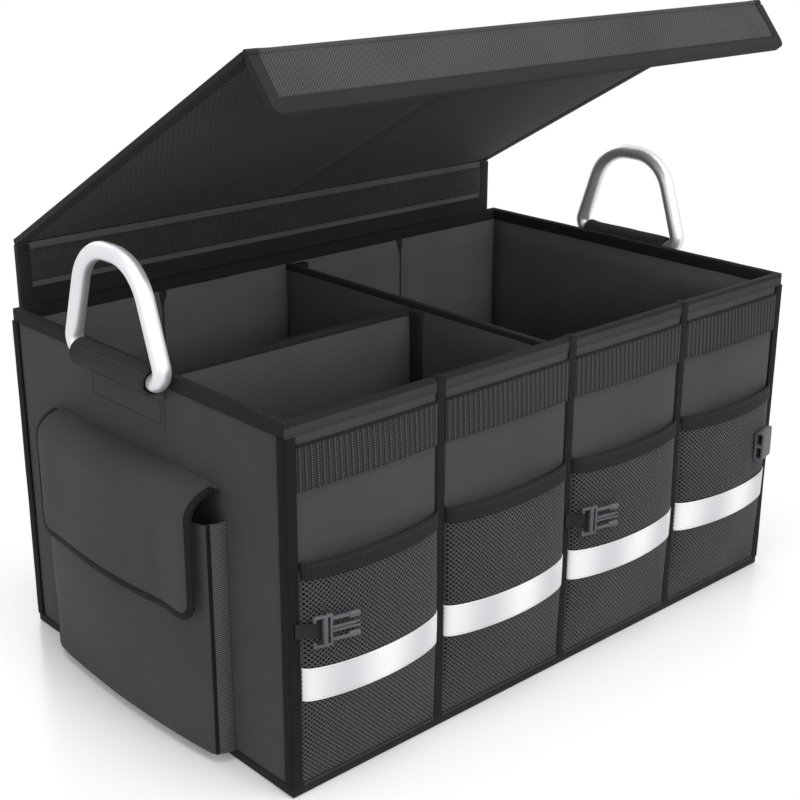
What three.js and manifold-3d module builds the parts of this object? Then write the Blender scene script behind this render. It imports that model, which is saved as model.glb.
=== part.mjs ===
// A collapsible car trunk organizer with a folding lid, front mesh pockets and aluminium handles.
// Millimetres, +Z up. The origin is the middle of the underside, and the front faces -Y.

import * as THREE from 'three';
import { mergeVertices } from 'three/addons/utils/BufferGeometryUtils.js';
import Module from 'manifold-3d';

const wasm = await Module();
wasm.setup();

// Box body
const boxLength = 600;
const boxWidth = 380;
const boxHeight = 304;
const wallThickness = 5;
const baseThickness = 6;
const wallBelly = 6;
const bayCount = 4;

// Tapes and bindings
const bindingThickness = 1.2;
const rimBindingDrop = 10;
const bottomBindingHeight = 8;
const seamTapeThickness = 2.2;
const seamTapeWidth = 9;
const cornerTapeWidth = 8;
const seatGap = 0.3;

// Webbing band across the front
const webbingDrop = 17;
const webbingHeight = 35;
const webbingThickness = 1.5;
const webbingRibHeight = 0.5;
const webbingRibPitch = 6;

// Mesh pockets on the front
const pocketMouthDrop = 107;
const pocketHemHeight = 14;
const pocketHemThickness = 2.5;
const meshThickness = 1.5;
const pocketLip = 8;
const pocketBelly = 4;
const bayRoundness = 0.6;
const clothGap = 0.68;
const reflectiveTop = 111;
const reflectiveHeight = 28;
const reflectiveThickness = 0.8;

// Dividers
const crossDividerDrop = 11;
const longDividerDrop = 16;
const dividerThickness = 5;
const dividerFit = 0.5;
const flangeWidth = 16;
const flangeThickness = 3;
const rearSeamWidth = 8;
const rearSeamThickness = 1;

// Buckles on the pockets
const strapWidth = 12;
const strapThickness = 1.2;
const strapFit = 0.3;
const buckleWidth = 26;
const buckleThickness = 5;
const buckleBar = 4;
const buckleSlot = 3;
const buckleTilt = 13;
const buckleStandOff = 12.8;
const buckleInset = 11;
const buckleSlotInset = 2.5;
const shoulderLength = 3;
const shoulderChamfer = 3;
const prongLength = 22;
const prongInset = 3;
const prongWidth = 3;
const prongTipLength = 9;
const prongTipWidth = 5;
const prongTipRise = 0.8;
const prongTipChamfer = 3;
const prongFillet = 2;
const railHalfWidth = 2.2;
const railChamfer = 1.2;
const socketLength = 20;
const socketLead = 1;
const socketThickness = 9;
const socketOverhang = 1.5;
const socketDrop = 1;
const socketCorner = 4;
const socketWall = 2;
const socketDepth = 15;
const socketWebHalf = 1.5;
const socketSideInset = 1;
const firstBuckleHeight = 143;
const secondBuckleHeight = 140;
const femaleBuckleHeight = 146;
const tabRoot = 18.2;
const tabRootHalf = 0.8;
const tabChamfer = 0.5;
const tabNeck = 1.6;

// Handles and their sleeves
const endTrimShift = 5;
const tubeRadius = 8;
const handleFoot = 67;
const handleShoulder = 36;
const handleRise = 91;
const footBend = 16;
const shoulderBend = 30;
const tubeJointGap = 0.4;
const sleeveBore = 8.7;
const sleeveWall = 1.5;
const sleeveHalfLength = 50;
const sleeveRootDepth = 8;
const sleeveTail = 22;
const sleeveTailThickness = 2.6;
const handleDrop = 3;

// Side pocket on the left end
const sidePocketHalf = 119;
const sidePocketMouthDrop = 97;
const sidePocketDepth = 16;
const sidePocketBaseBelly = 8;
const sidePocketBelly = 18;
const sidePocketMouthTuck = 0.15;
const sidePocketWall = 2;
const sideFlapSeamDrop = 70;
const sideFlapHem = 128;
const sideFlapHalf = 116;
const sideFlapClearance = 0.8;
const sideFlapThickness = 2.4;
const sideFlapCorner = 16;
const sideFlapRoot = 0.4;
const sideFlapTurnRise = 6;

// Lid
const lidEndInset = 9;
const lidOverhang = 9;
const lidBoardThickness = 3.4;
const lidTape = 1;
const lidSideTape = 12;
const lidFoldHeight = 362;
const lidOpenAngle = 29.2;
const lidFoldRadius = 2.3;
const lidFoldGap = 3;
const rearFlapHeight = 74;
const rearFlapEdgeTape = 32;
const rearFlapCorner = 7;
const frontFlapHeight = 48;
const frontFlapEdgeTape = 12;
const frontFlapSideTape = 9;
const frontFlapBend = 80.5;
const frontFlapCorner = 9;
const hookStripHeight = 29;
const hookStripDrop = 8;
const hookStripThickness = 0.7;
const loopStripHeight = 29;
const loopStripThickness = 1;
const lidCreaseWidth = 2;
const lidCreaseDepth = 0.8;
const lidSeatGap = 0.4;

// Worked out from the sizes above
const halfLength = boxLength / 2;
const halfWidth = boxWidth / 2;
const bayWidth = boxLength / bayCount;
const rimSkirtBottom = boxHeight - rimBindingDrop;
const webbingTop = boxHeight - webbingDrop;
const webbingBottom = webbingTop - webbingHeight;
const pocketMouth = boxHeight - pocketMouthDrop;
const hemBottom = pocketMouth - pocketHemHeight;
const reflectiveBottom = reflectiveTop - reflectiveHeight;
const pocketFoot = bottomBindingHeight + seatGap;
const crossDividerTop = boxHeight - crossDividerDrop;
const longDividerTop = boxHeight - longDividerDrop;
const sidePocketMouth = boxHeight - sidePocketMouthDrop;
const sideFlapSeam = boxHeight - sideFlapSeamDrop;
const sleeveRadius = sleeveBore + sleeveWall;
const handleAxisX = halfLength + bindingThickness + seatGap + sleeveRadius;
const handleAxisZ = boxHeight - handleDrop;
const lidHalfLength = halfLength - lidEndInset;
const lidPanelWidth = boxWidth + lidOverhang;
const hookStripHalf = lidHalfLength - lidSideTape;
const lidFoldY = halfWidth + bindingThickness + lidSeatGap + lidTape + lidBoardThickness / 2;

const radians = THREE.MathUtils.degToRad;

// Materials
function finish(color, roughness, metalness = 0) {
  return new THREE.MeshStandardMaterial({ color, roughness, metalness });
}
const shellFabric = finish(0x47484b, 0.85);
const liningFabric = finish(0x2e2f31, 0.9);
const bindingTape = finish(0x232325, 0.8);
const webbing = finish(0x28282a, 0.8);
const pocketMesh = finish(0x3c3c3e, 0.9);
const reflectiveTape = finish(0xe4e5e6, 0.35);
const aluminium = finish(0xd4d6d8, 0.35, 1);
const bucklePlastic = finish(0x55575a, 0.5);
const hookTape = finish(0x1e1b19, 0.95);
const gussetTwill = finish(0x4a4a4c, 0.9);

const organizer = new THREE.Group();

function addPart(name, material, geometry, parent = organizer) {
  geometry.computeVertexNormals();
  const mesh = new THREE.Mesh(geometry, material);
  mesh.name = name;
  parent.add(mesh);
  return mesh;
}

function turnedGroup(x, y, z, parent = organizer) {
  const group = new THREE.Group();
  group.position.set(x, y, z);
  parent.add(group);
  return group;
}

// Booleans on closed meshes
function toSolid(geometry) {
  const bare = geometry.clone();
  bare.deleteAttribute('normal');
  bare.deleteAttribute('uv');
  const merged = mergeVertices(bare, 1e-4);
  return new wasm.Manifold(new wasm.Mesh({
    numProp: 3,
    vertProperties: new Float32Array(merged.attributes.position.array),
    triVerts: new Uint32Array(merged.index.array),
  }));
}

function toGeometry(solid) {
  const mesh = solid.getMesh();
  const geometry = new THREE.BufferGeometry();
  geometry.setAttribute('position', new THREE.BufferAttribute(mesh.vertProperties, 3));
  geometry.setIndex(new THREE.BufferAttribute(mesh.triVerts, 1));
  return geometry;
}

// Basic shapes
function block(x0, x1, y0, y1, z0, z1) {
  const box = new THREE.BoxGeometry(x1 - x0, y1 - y0, z1 - z0);
  return box.translate((x0 + x1) / 2, (y0 + y1) / 2, (z0 + z1) / 2);
}

function outline(points, holes = []) {
  const corners = points.map(([x, y]) => new THREE.Vector2(x, y));
  const shape = new THREE.Shape(THREE.ShapeUtils.isClockWise(corners) ? corners.reverse() : corners);
  for (const hole of holes) {
    shape.holes.push(new THREE.Path(hole.map(([x, y]) => new THREE.Vector2(x, y))));
  }
  return shape;
}

function extruded(shape, depth, curveSegments = 4) {
  return new THREE.ExtrudeGeometry(shape, { depth, curveSegments, bevelEnabled: false });
}

// A closed path through the corners, each rounded by its own tangent length
function roundedPath(path, corners) {
  const count = corners.length;
  corners.forEach(([x, y, bend], i) => {
    const corner = new THREE.Vector2(x, y);
    const before = new THREE.Vector2(...corners[(i + count - 1) % count]).sub(corner).setLength(bend);
    const after = new THREE.Vector2(...corners[(i + 1) % count]).sub(corner).setLength(bend);
    const start = corner.clone().add(before);
    const end = corner.clone().add(after);
    if (i === 0) {
      path.moveTo(start.x, start.y);
    } else {
      path.lineTo(start.x, start.y);
    }
    if (bend > 0) {
      path.quadraticCurveTo(x, y, end.x, end.y);
    }
  });
  path.closePath();
  return path;
}

function smoothStep(value) {
  const t = THREE.MathUtils.clamp(value, 0, 1);
  return t * t * (3 - 2 * t);
}

function evenSteps(from, to, count) {
  return Array.from({ length: count + 1 }, (_, i) => from + ((to - from) * i) / count);
}

// A thin curved solid over a grid of stations, between an inner and an outer surface.
// The surfaces give the depth at each station, and place() puts (a, b, depth) into space.
function curvedSheet(as, bs, inner, outer, place) {
  const box = new THREE.BoxGeometry(1, 1, 1, as.length - 1, 1, bs.length - 1);
  const position = box.attributes.position;
  for (let i = 0; i < position.count; i += 1) {
    const a = as[Math.round((position.getX(i) + 0.5) * (as.length - 1))];
    const b = bs[Math.round((position.getZ(i) + 0.5) * (bs.length - 1))];
    const depth = position.getY(i) < 0 ? outer(a, b) : inner(a, b);
    const [x, y, z] = place(a, b, depth);
    position.setXYZ(i, x, y, z);
  }
  return box;
}

// Front of the box: the bays between the seams swell outwards
const bays = Array.from({ length: bayCount }, (_, i) => {
  const left = -halfLength + i * bayWidth;
  const right = left + bayWidth;
  return {
    left: i === 0 ? left + cornerTapeWidth : left + seamTapeWidth / 2,
    right: i === bayCount - 1 ? right - cornerTapeWidth : right - seamTapeWidth / 2,
  };
});
const baySteps = 8;

function baySwell(x) {
  const bay = bays.find(({ left, right }) => x >= left && x <= right);
  if (!bay) {
    return 0;
  }
  const across = (x - bay.left) / (bay.right - bay.left);
  return Math.max(0, Math.sin(Math.PI * across)) ** bayRoundness;
}

function wallSwell(x, z) {
  const up = (z - bottomBindingHeight) / (rimSkirtBottom - bottomBindingHeight);
  return up <= 0 || up >= 1 ? 0 : wallBelly * baySwell(x) * Math.sin(Math.PI * up) ** 0.7;
}

function pocketSpace(x, z) {
  const up = THREE.MathUtils.clamp((z - pocketFoot) / (pocketMouth - pocketFoot), 0, 1);
  return baySwell(x) * (pocketLip * smoothStep(2 * up) + pocketBelly * Math.sin(Math.PI * up));
}

const pocketInner = (x, z) => wallSwell(x, z) + clothGap + pocketSpace(x, z);
const pocketOuter = (x, z) => pocketInner(x, z) + meshThickness;
const onFront = (x, z, depth) => [x, -halfWidth - depth, z];

const pocketLevels = [
  pocketFoot,
  ...evenSteps(pocketFoot, reflectiveBottom, 3).slice(1),
  ...evenSteps(reflectiveBottom, reflectiveTop, 2).slice(1),
  ...evenSteps(reflectiveTop, hemBottom, 3).slice(1),
];

function addWalls() {
  const inside = halfLength - wallThickness;
  const acrossInside = halfWidth - wallThickness;
  addPart('base_board', liningFabric, block(-inside, inside, -acrossInside, acrossInside, 0, baseThickness));
  const wallLevels = [
    0, bottomBindingHeight, ...pocketLevels, pocketMouth,
    (pocketMouth + webbingBottom) / 2, ...evenSteps(webbingBottom, webbingTop, 2), rimSkirtBottom, boxHeight,
  ];
  const stations = [
    -halfLength, ...bays.flatMap(({ left, right }) => evenSteps(left, right, baySteps)), halfLength,
  ];
  const frontWall = curvedSheet(stations, wallLevels, () => -wallThickness, wallSwell, onFront);
  addPart('front_wall', shellFabric, frontWall);
  addPart('rear_wall', shellFabric, block(
    -halfLength, halfLength, acrossInside, halfWidth, 0, boxHeight,
  ));
  for (const side of [-1, 1]) {
    const middle = side * (halfLength - wallThickness / 2);
    const half = wallThickness / 2;
    const name = side < 0 ? 'left_end_wall' : 'right_end_wall';
    addPart(name, shellFabric, block(
      middle - half, middle + half, -acrossInside, acrossInside, 0, boxHeight,
    ));
  }
}

// Bindings round the rim, the bottom and the four upright corners
function addBindings() {
  const outX = halfLength + bindingThickness;
  const outY = halfWidth + bindingThickness;
  const inX = halfLength - wallThickness;
  const inY = halfWidth - wallThickness;
  const skirt = rimSkirtBottom;
  const top = boxHeight + bindingThickness;
  const wallRing = toSolid(block(-halfLength, halfLength, -halfWidth, halfWidth, 0, boxHeight))
    .subtract(toSolid(block(-inX, inX, -inY, inY, -1, top + 1)));
  const rim = toSolid(block(-outX, outX, -outY, outY, skirt, top))
    .subtract(toSolid(block(
      -inX + bindingThickness, inX - bindingThickness,
      -inY + bindingThickness, inY - bindingThickness, skirt - 1, top + 1,
    )))
    .subtract(wallRing);
  addPart('rim_binding', bindingTape, toGeometry(rim));
  const foot = toSolid(block(-outX, outX, -outY, outY, 0, bottomBindingHeight))
    .subtract(toSolid(block(-halfLength, halfLength, -halfWidth, halfWidth, -1, bottomBindingHeight + 1)));
  addPart('bottom_binding', bindingTape, toGeometry(foot));

  const reach = seamTapeThickness;
  const corner = [
    [cornerTapeWidth, 0, 0], [0, 0, 0], [0, cornerTapeWidth, 0],
    [-reach, cornerTapeWidth, reach / 2], [-reach, -reach, reach], [cornerTapeWidth, -reach, reach / 2],
  ];
  const profile = roundedPath(new THREE.Shape(), corner);
  const quarterTurns = { front_left: 0, front_right: 1, rear_right: 2, rear_left: 3 };
  for (const [place, turns] of Object.entries(quarterTurns)) {
    const tape = extruded(profile, rimSkirtBottom - bottomBindingHeight);
    tape.rotateZ(radians(90 * turns));
    const x = place.endsWith('left') ? -halfLength : halfLength;
    const y = place.startsWith('front') ? -halfWidth : halfWidth;
    tape.translate(x, y, bottomBindingHeight);
    addPart(`corner_binding_${place}`, bindingTape, tape);
  }
}

// Seam tapes, webbing, mesh pockets and reflective tape on the front
function addFrontTrim() {
  for (let i = 1; i < bayCount; i += 1) {
    const x = -halfLength + i * bayWidth;
    const half = seamTapeWidth / 2;
    addPart(`front_seam_tape_${i}`, bindingTape, block(
      x - half, x + half, -halfWidth - seamTapeThickness, -halfWidth, bottomBindingHeight, rimSkirtBottom,
    ));
  }
  const ribInner = (x, z) => wallSwell(x, z) + clothGap;
  bays.forEach(({ left, right }, i) => {
    const number = i + 1;
    const stations = evenSteps(left, right, baySteps);
    const ribSteps = 2 * Math.round((right - left) / webbingRibPitch);
    const ribStations = evenSteps(left, right, ribSteps);
    const ribOuter = (x, z) => {
      const onRib = Math.round(((x - left) / (right - left)) * ribSteps) % 2;
      return ribInner(x, z) + webbingThickness + onRib * webbingRibHeight;
    };
    addPart(`webbing_band_${number}`, webbing, curvedSheet(
      ribStations, evenSteps(webbingBottom, webbingTop, 2), ribInner, ribOuter, onFront,
    ));
    addPart(`mesh_pocket_${number}`, pocketMesh, curvedSheet(
      stations, pocketLevels, pocketInner, pocketOuter, onFront,
    ));
    const hemOuter = (x, z) => pocketInner(x, z) + pocketHemThickness;
    addPart(`pocket_hem_${number}`, bindingTape, curvedSheet(
      stations, [hemBottom, pocketMouth], pocketInner, hemOuter, onFront,
    ));
    const tapeInner = (x, z) => pocketOuter(x, z) + clothGap;
    addPart(`reflective_tape_${number}`, reflectiveTape, curvedSheet(
      stations, evenSteps(reflectiveBottom, reflectiveTop, 2), tapeInner,
      (x, z) => tapeInner(x, z) + reflectiveThickness, onFront,
    ));
  });
}

// Dividers inside, with the flanges that stick to the walls
function addInterior() {
  const inX = halfLength - wallThickness;
  const inY = halfWidth - wallThickness - dividerFit;
  const half = dividerThickness / 2;
  const crossPlan = outline([
    [-half, -inY], [half + flangeWidth, -inY], [half + flangeWidth, -inY + flangeThickness],
    [half, -inY + flangeThickness], [half, inY - flangeThickness],
    [half + flangeWidth, inY - flangeThickness], [half + flangeWidth, inY], [-half, inY],
  ]);
  const cross = extruded(crossPlan, crossDividerTop - baseThickness).translate(0, 0, baseThickness);
  addPart('cross_divider', liningFabric, cross);

  const left = -inX + dividerFit;
  const right = -half - dividerFit;
  const longPlan = outline([
    [left, half], [left, -half - flangeWidth], [left + flangeThickness, -half - flangeWidth],
    [left + flangeThickness, -half], [right - flangeThickness, -half],
    [right - flangeThickness, -half - flangeWidth], [right, -half - flangeWidth], [right, half],
  ]);
  const long = extruded(longPlan, longDividerTop - baseThickness).translate(0, 0, baseThickness);
  addPart('long_divider', liningFabric, long);

  for (const side of [-1, 1]) {
    const x = side * bayWidth;
    const name = side < 0 ? 'rear_seam_left' : 'rear_seam_right';
    const wallFace = halfWidth - wallThickness;
    addPart(name, bindingTape, block(
      x - rearSeamWidth / 2, x + rearSeamWidth / 2, wallFace - rearSeamThickness, wallFace,
      baseThickness, rimSkirtBottom,
    ));
  }
}

// Buckles: each lies in its own turned group, with u along the strap and w outwards
function buckleGroup(x, z, side) {
  const group = turnedGroup(x, -halfWidth - buckleStandOff, z);
  group.rotation.z = side > 0 ? radians(-buckleTilt) : radians(180 + buckleTilt);
  return group;
}

// Stands an outline drawn in (u, v) upright, so that its thickness runs from w = low outwards
function standUp(geometry, side, low, thickness) {
  geometry.rotateX(Math.PI / 2);
  return geometry.translate(0, side > 0 ? -low : low + thickness, 0);
}

function strapTab(side) {
  const gap = strapFit;
  const wall = strapThickness;
  const middle = buckleThickness / 2;
  const near = -gap - tabChamfer;
  const far = buckleBar + gap;
  const deep = buckleThickness + gap;
  const tilt = radians(buckleTilt);
  const rootOut = seamTapeThickness + seatGap + tabRootHalf * (Math.cos(tilt) - Math.sin(tilt));
  const rootW = -(buckleStandOff - rootOut - tabRoot * Math.sin(tilt)) / Math.cos(tilt);
  const loop = [
    [-tabNeck, middle - wall], [near, -gap - wall], [far + tabChamfer, -gap - wall],
    [far + wall, -gap - tabChamfer], [far + wall, deep + tabChamfer], [far + tabChamfer, deep + wall],
    [near, deep + wall], [-tabNeck - tabRootHalf, middle + wall],
    [-tabRoot - tabRootHalf, rootW + tabRootHalf], [-tabRoot + tabRootHalf, rootW - tabRootHalf],
  ];
  const hole = [[-gap, -gap], [far, -gap], [far, deep], [-gap, deep]];
  const flip = (points) => points.map(([u, w]) => [u, -side * w]);
  const plan = outline(flip(loop), [flip(hole)]);
  return extruded(plan, strapWidth).translate(0, 0, -strapWidth / 2);
}

// The slot that the strap loops through, in (u, v)
function strapSlot() {
  const reach = buckleWidth / 2 - buckleSlotInset;
  const end = buckleBar + buckleSlot;
  return [[buckleBar, -reach], [end, -reach], [end, reach], [buckleBar, reach]];
}

// A T frame, two prongs with swollen tips and a guide rail between them
function maleBuckle(side) {
  const half = buckleWidth / 2;
  const shoulder = buckleBar + buckleSlot + shoulderLength;
  const tip = shoulder + prongLength;
  const outer = half - prongInset;
  const inner = outer - prongWidth;
  const swell = tip - prongTipLength;
  const web = shoulder + prongFillet / 2;
  const rail = railHalfWidth;
  const upper = [
    [0, half], [shoulder - shoulderChamfer, half], [shoulder, outer], [swell, outer],
    [swell + prongFillet, outer + prongTipRise], [tip - prongTipChamfer, outer],
    [tip, outer - prongTipChamfer],
    [tip, outer - prongTipWidth], [swell + prongFillet, outer - prongTipWidth], [swell, inner],
    [web + prongFillet, inner], [web, inner - prongFillet], [web, rail + prongFillet / 2],
    [web + prongFillet / 2, rail], [tip - prongTipWidth, rail],
    [tip - prongTipWidth + railChamfer, rail - railChamfer],
  ];
  const lower = upper.map(([u, v]) => [u, -v]).reverse();
  const body = extruded(outline([...upper, ...lower], [strapSlot()]), buckleThickness);
  return standUp(body, side, 0, buckleThickness);
}

function femaleBuckle(side) {
  const half = buckleWidth / 2;
  const start = buckleBar + buckleSlot + socketLead;
  const end = start + socketLength;
  const joined = start + socketWall;
  const frameShape = outline([[0, -half], [joined, -half], [joined, half], [0, half]], [strapSlot()]);
  const frame = standUp(extruded(frameShape, buckleThickness), side, 0, buckleThickness);
  const halfThick = socketThickness / 2;
  const halfWide = half + socketOverhang;
  const oval = roundedPath(new THREE.Shape(), [
    [-halfThick, -halfWide, socketCorner], [halfThick, -halfWide, socketCorner],
    [halfThick, halfWide, socketCorner], [-halfThick, halfWide, socketCorner],
  ]);
  const middle = -side * (halfThick - socketDrop);
  const housing = extruded(oval, socketLength).rotateY(Math.PI / 2).rotateX(Math.PI / 2);
  housing.translate(start, middle, 0);
  const mouth = halfThick - socketWall;
  let solid = toSolid(frame).add(toSolid(housing));
  for (const up of [-1, 1]) {
    const near = up * socketWebHalf;
    const far = up * (half - socketSideInset);
    solid = solid.subtract(toSolid(block(
      end - socketDepth, end + 1, middle - mouth, middle + mouth, Math.min(near, far), Math.max(near, far),
    )));
  }
  return toGeometry(solid);
}

function addBuckles() {
  const places = [
    { number: 1, x: bays[0].left + buckleInset, z: firstBuckleHeight, side: 1 },
    { number: 2, x: bays[2].left + buckleInset, z: secondBuckleHeight, side: 1 },
    { number: 3, x: bays[3].right - buckleInset, z: femaleBuckleHeight, side: -1 },
  ];
  for (const { number, x, z, side } of places) {
    const group = buckleGroup(x, z, side);
    addPart(`buckle_tab_${number}`, webbing, strapTab(side), group);
    if (side > 0) {
      addPart(`male_buckle_${number}`, bucklePlastic, maleBuckle(side), group);
    } else {
      addPart('female_buckle', bucklePlastic, femaleBuckle(side), group);
    }
  }
}

// Handles: a bent tube whose ends meet inside the sleeve
class HandleLine extends THREE.Curve {
  constructor() {
    super();
    this.flat = roundedPath(new THREE.Path(), [
      [-handleFoot, 0, footBend], [-handleShoulder, handleRise, shoulderBend],
      [handleShoulder, handleRise, shoulderBend], [handleFoot, 0, footBend],
    ]);
    this.total = this.flat.getLength();
    this.start = this.total - (handleFoot - footBend);
  }

  getPoint(t, target = new THREE.Vector3()) {
    const run = this.total - tubeJointGap;
    const along = (this.start + tubeJointGap / 2 + t * run) % this.total;
    const point = this.flat.getPointAt(along / this.total);
    return target.set(0, point.x, point.y);
  }
}

function addHandles() {
  const section = new THREE.Shape().absarc(0, 0, tubeRadius, 0, 2 * Math.PI);
  const line = new HandleLine();
  for (const side of [-1, 1]) {
    const name = side < 0 ? 'left' : 'right';
    const tube = new THREE.ExtrudeGeometry(section, {
      steps: 64, curveSegments: 5, bevelEnabled: false, extrudePath: line,
    });
    tube.translate(side * handleAxisX, endTrimShift, handleAxisZ);
    addPart(`handle_${name}`, aluminium, tube);
    addPart(`handle_sleeve_${name}`, shellFabric, handleSleeve(side));
  }
}

function handleSleeve(side) {
  const length = 2 * sleeveHalfLength;
  const roll = new THREE.CylinderGeometry(sleeveRadius, sleeveRadius, length, 24);
  const bore = new THREE.CylinderGeometry(sleeveBore, sleeveBore, length + 2, 24);
  const tailTop = rimSkirtBottom - seatGap;
  const tailBottom = tailTop - sleeveTail - sleeveRadius / 2;
  const rollX = side * handleAxisX;
  const face = side * halfLength;
  const plate = (depth, z0) => {
    const out = side * (halfLength + depth);
    return block(Math.min(face, out), Math.max(face, out), -sleeveHalfLength, sleeveHalfLength, z0, tailTop);
  };
  const solid = toSolid(roll.translate(rollX, 0, handleAxisZ))
    .add(toSolid(plate(sleeveTailThickness, tailBottom)))
    .add(toSolid(plate(sleeveRootDepth, tailTop - sleeveRadius)))
    .subtract(toSolid(bore.translate(rollX, 0, handleAxisZ)));
  return toGeometry(solid).translate(0, endTrimShift, 0);
}

// Side pocket on the left end: a swelling front panel, gussets and a flap
const pocketAcross = (y) => {
  const across = (y - endTrimShift + sidePocketHalf) / (2 * sidePocketHalf);
  return Math.sin(Math.PI * THREE.MathUtils.clamp(across, 0, 1)) ** 0.7;
};

function sideSwell(y, z) {
  const up = (z - pocketFoot) / (sidePocketMouth - pocketFoot);
  const rise = smoothStep(2 * up) - sidePocketMouthTuck * smoothStep(2 * up - 1);
  return pocketAcross(y) * (sidePocketBaseBelly + (sidePocketBelly - sidePocketBaseBelly) * rise);
}

const onLeftEnd = (y, z, depth) => [-halfLength - depth, y, z];

function addSidePocket() {
  const low = endTrimShift - sidePocketHalf;
  const high = endTrimShift + sidePocketHalf;
  const stations = evenSteps(low, high, 12);
  const levels = evenSteps(pocketFoot, sidePocketMouth, 6);
  const inner = (y, z) => sidePocketDepth + sideSwell(y, z);
  const panel = curvedSheet(
    stations, levels, (y, z) => inner(y, z) + sidePocketWall, inner, onLeftEnd,
  );
  const gussetReach = sidePocketDepth - seatGap;
  const edge = sidePocketWall + seatGap;
  const floorStations = evenSteps(low + edge, high - edge, 12);
  const floorPlan = outline([
    ...floorStations.map((y) => [-halfLength - inner(y, pocketFoot) - sidePocketWall / 2, y]),
    [-halfLength - seatGap, high - edge], [-halfLength - seatGap, low + edge],
  ].reverse());
  const floor = extruded(floorPlan, sidePocketWall).translate(0, 0, pocketFoot);
  addPart('side_pocket', shellFabric, toGeometry(toSolid(panel).add(toSolid(floor))));
  for (const [name, y] of [['front', low], ['rear', high - sidePocketWall]]) {
    addPart(`side_gusset_${name}`, gussetTwill, block(
      -halfLength - gussetReach, -halfLength, y, y + sidePocketWall, pocketFoot, sidePocketMouth,
    ));
  }
}

// The flap leaves the wall at its seam, turns over the pocket's mouth and hangs down in front
function addSideFlap() {
  const low = endTrimShift - sideFlapHalf;
  const high = endTrimShift + sideFlapHalf;
  const stations = evenSteps(low, high, 14);
  const turnTop = sideFlapSeam - sideFlapThickness / 2;
  const turnBottom = sidePocketMouth + sideFlapTurnRise;
  const runs = evenSteps(0, 1, 5);
  const drops = evenSteps(1, 2, 4).slice(1);
  const hemAt = (y) => {
    const fromEdge = Math.min(y - low, high - y);
    const inCorner = Math.max(0, sideFlapCorner - fromEdge) / sideFlapCorner;
    return sideFlapHem + sideFlapCorner * (1 - Math.sqrt(1 - inCorner * inCorner));
  };
  const reachAt = (y, z) => {
    const swell = sideSwell(y, Math.min(z, sidePocketMouth));
    return sidePocketDepth + sidePocketWall + swell + sideFlapClearance;
  };
  // The middle line of the flap: a quarter round from the wall, then a drop to the hem
  const middle = (y, s) => {
    const reach = reachAt(y, sidePocketMouth) + sideFlapThickness / 2;
    if (s <= 1) {
      const turn = (s * Math.PI) / 2;
      return [
        sideFlapRoot + (reach - sideFlapRoot) * Math.sin(turn),
        turnBottom + (turnTop - turnBottom) * Math.cos(turn),
      ];
    }
    const z = turnBottom + (hemAt(y) - turnBottom) * (s - 1);
    return [reachAt(y, z) + sideFlapThickness / 2, z];
  };
  const place = (s, y, depth) => {
    const [outA, zA] = middle(y, Math.max(0, s - 0.01));
    const [outB, zB] = middle(y, Math.min(2, s + 0.01));
    const [out, z] = middle(y, s);
    const along = Math.hypot(outB - outA, zB - zA);
    const normalOut = -(zB - zA) / along;
    const normalUp = (outB - outA) / along;
    return [-halfLength - out - normalOut * depth, y, z + normalUp * depth];
  };
  const half = sideFlapThickness / 2;
  const flap = curvedSheet([...runs, ...drops], stations, () => half, () => -half, place);
  addPart('side_pocket_flap', shellFabric, flap);
}

// Lid pieces: a plate lies in its group with the fold at y = 0 and its free edge towards -y
function plateOutline(half, near, far, corner) {
  return roundedPath(new THREE.Shape(), [
    [half, -near, 0], [-half, -near, 0], [-half, -far, corner], [half, -far, corner],
  ]);
}

function slab(shape, halfThickness) {
  return toSolid(extruded(shape, 2 * halfThickness).translate(0, 0, -halfThickness));
}

function plateCore(far, corner) {
  const inset = lidTape + seatGap;
  return plateOutline(lidHalfLength - inset, lidFoldGap, far - inset, Math.max(0, corner - inset));
}

function boundPlate(far, corner, sideTape, edgeTape) {
  const half = lidBoardThickness / 2;
  const board = slab(plateCore(far, corner), half);
  const cover = slab(plateOutline(lidHalfLength, lidFoldGap, far, corner), half + lidTape);
  const window = plateOutline(lidHalfLength - sideTape, 0, far - edgeTape, 0);
  const channel = slab(plateCore(far, corner), half + seatGap);
  const foldSide = toSolid(block(
    -lidHalfLength, lidHalfLength, -lidFoldGap - seatGap, 0, -half - seatGap, half + seatGap,
  ));
  const tape = cover.subtract(slab(window, 2 * half + lidTape)).subtract(channel).subtract(foldSide);
  return { board, tape };
}

function foldRoll(name, parent) {
  const length = 2 * (lidHalfLength - lidTape);
  const roll = new THREE.CylinderGeometry(lidFoldRadius, lidFoldRadius, length, 12);
  addPart(name, bindingTape, roll.rotateZ(Math.PI / 2), parent);
}

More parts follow.
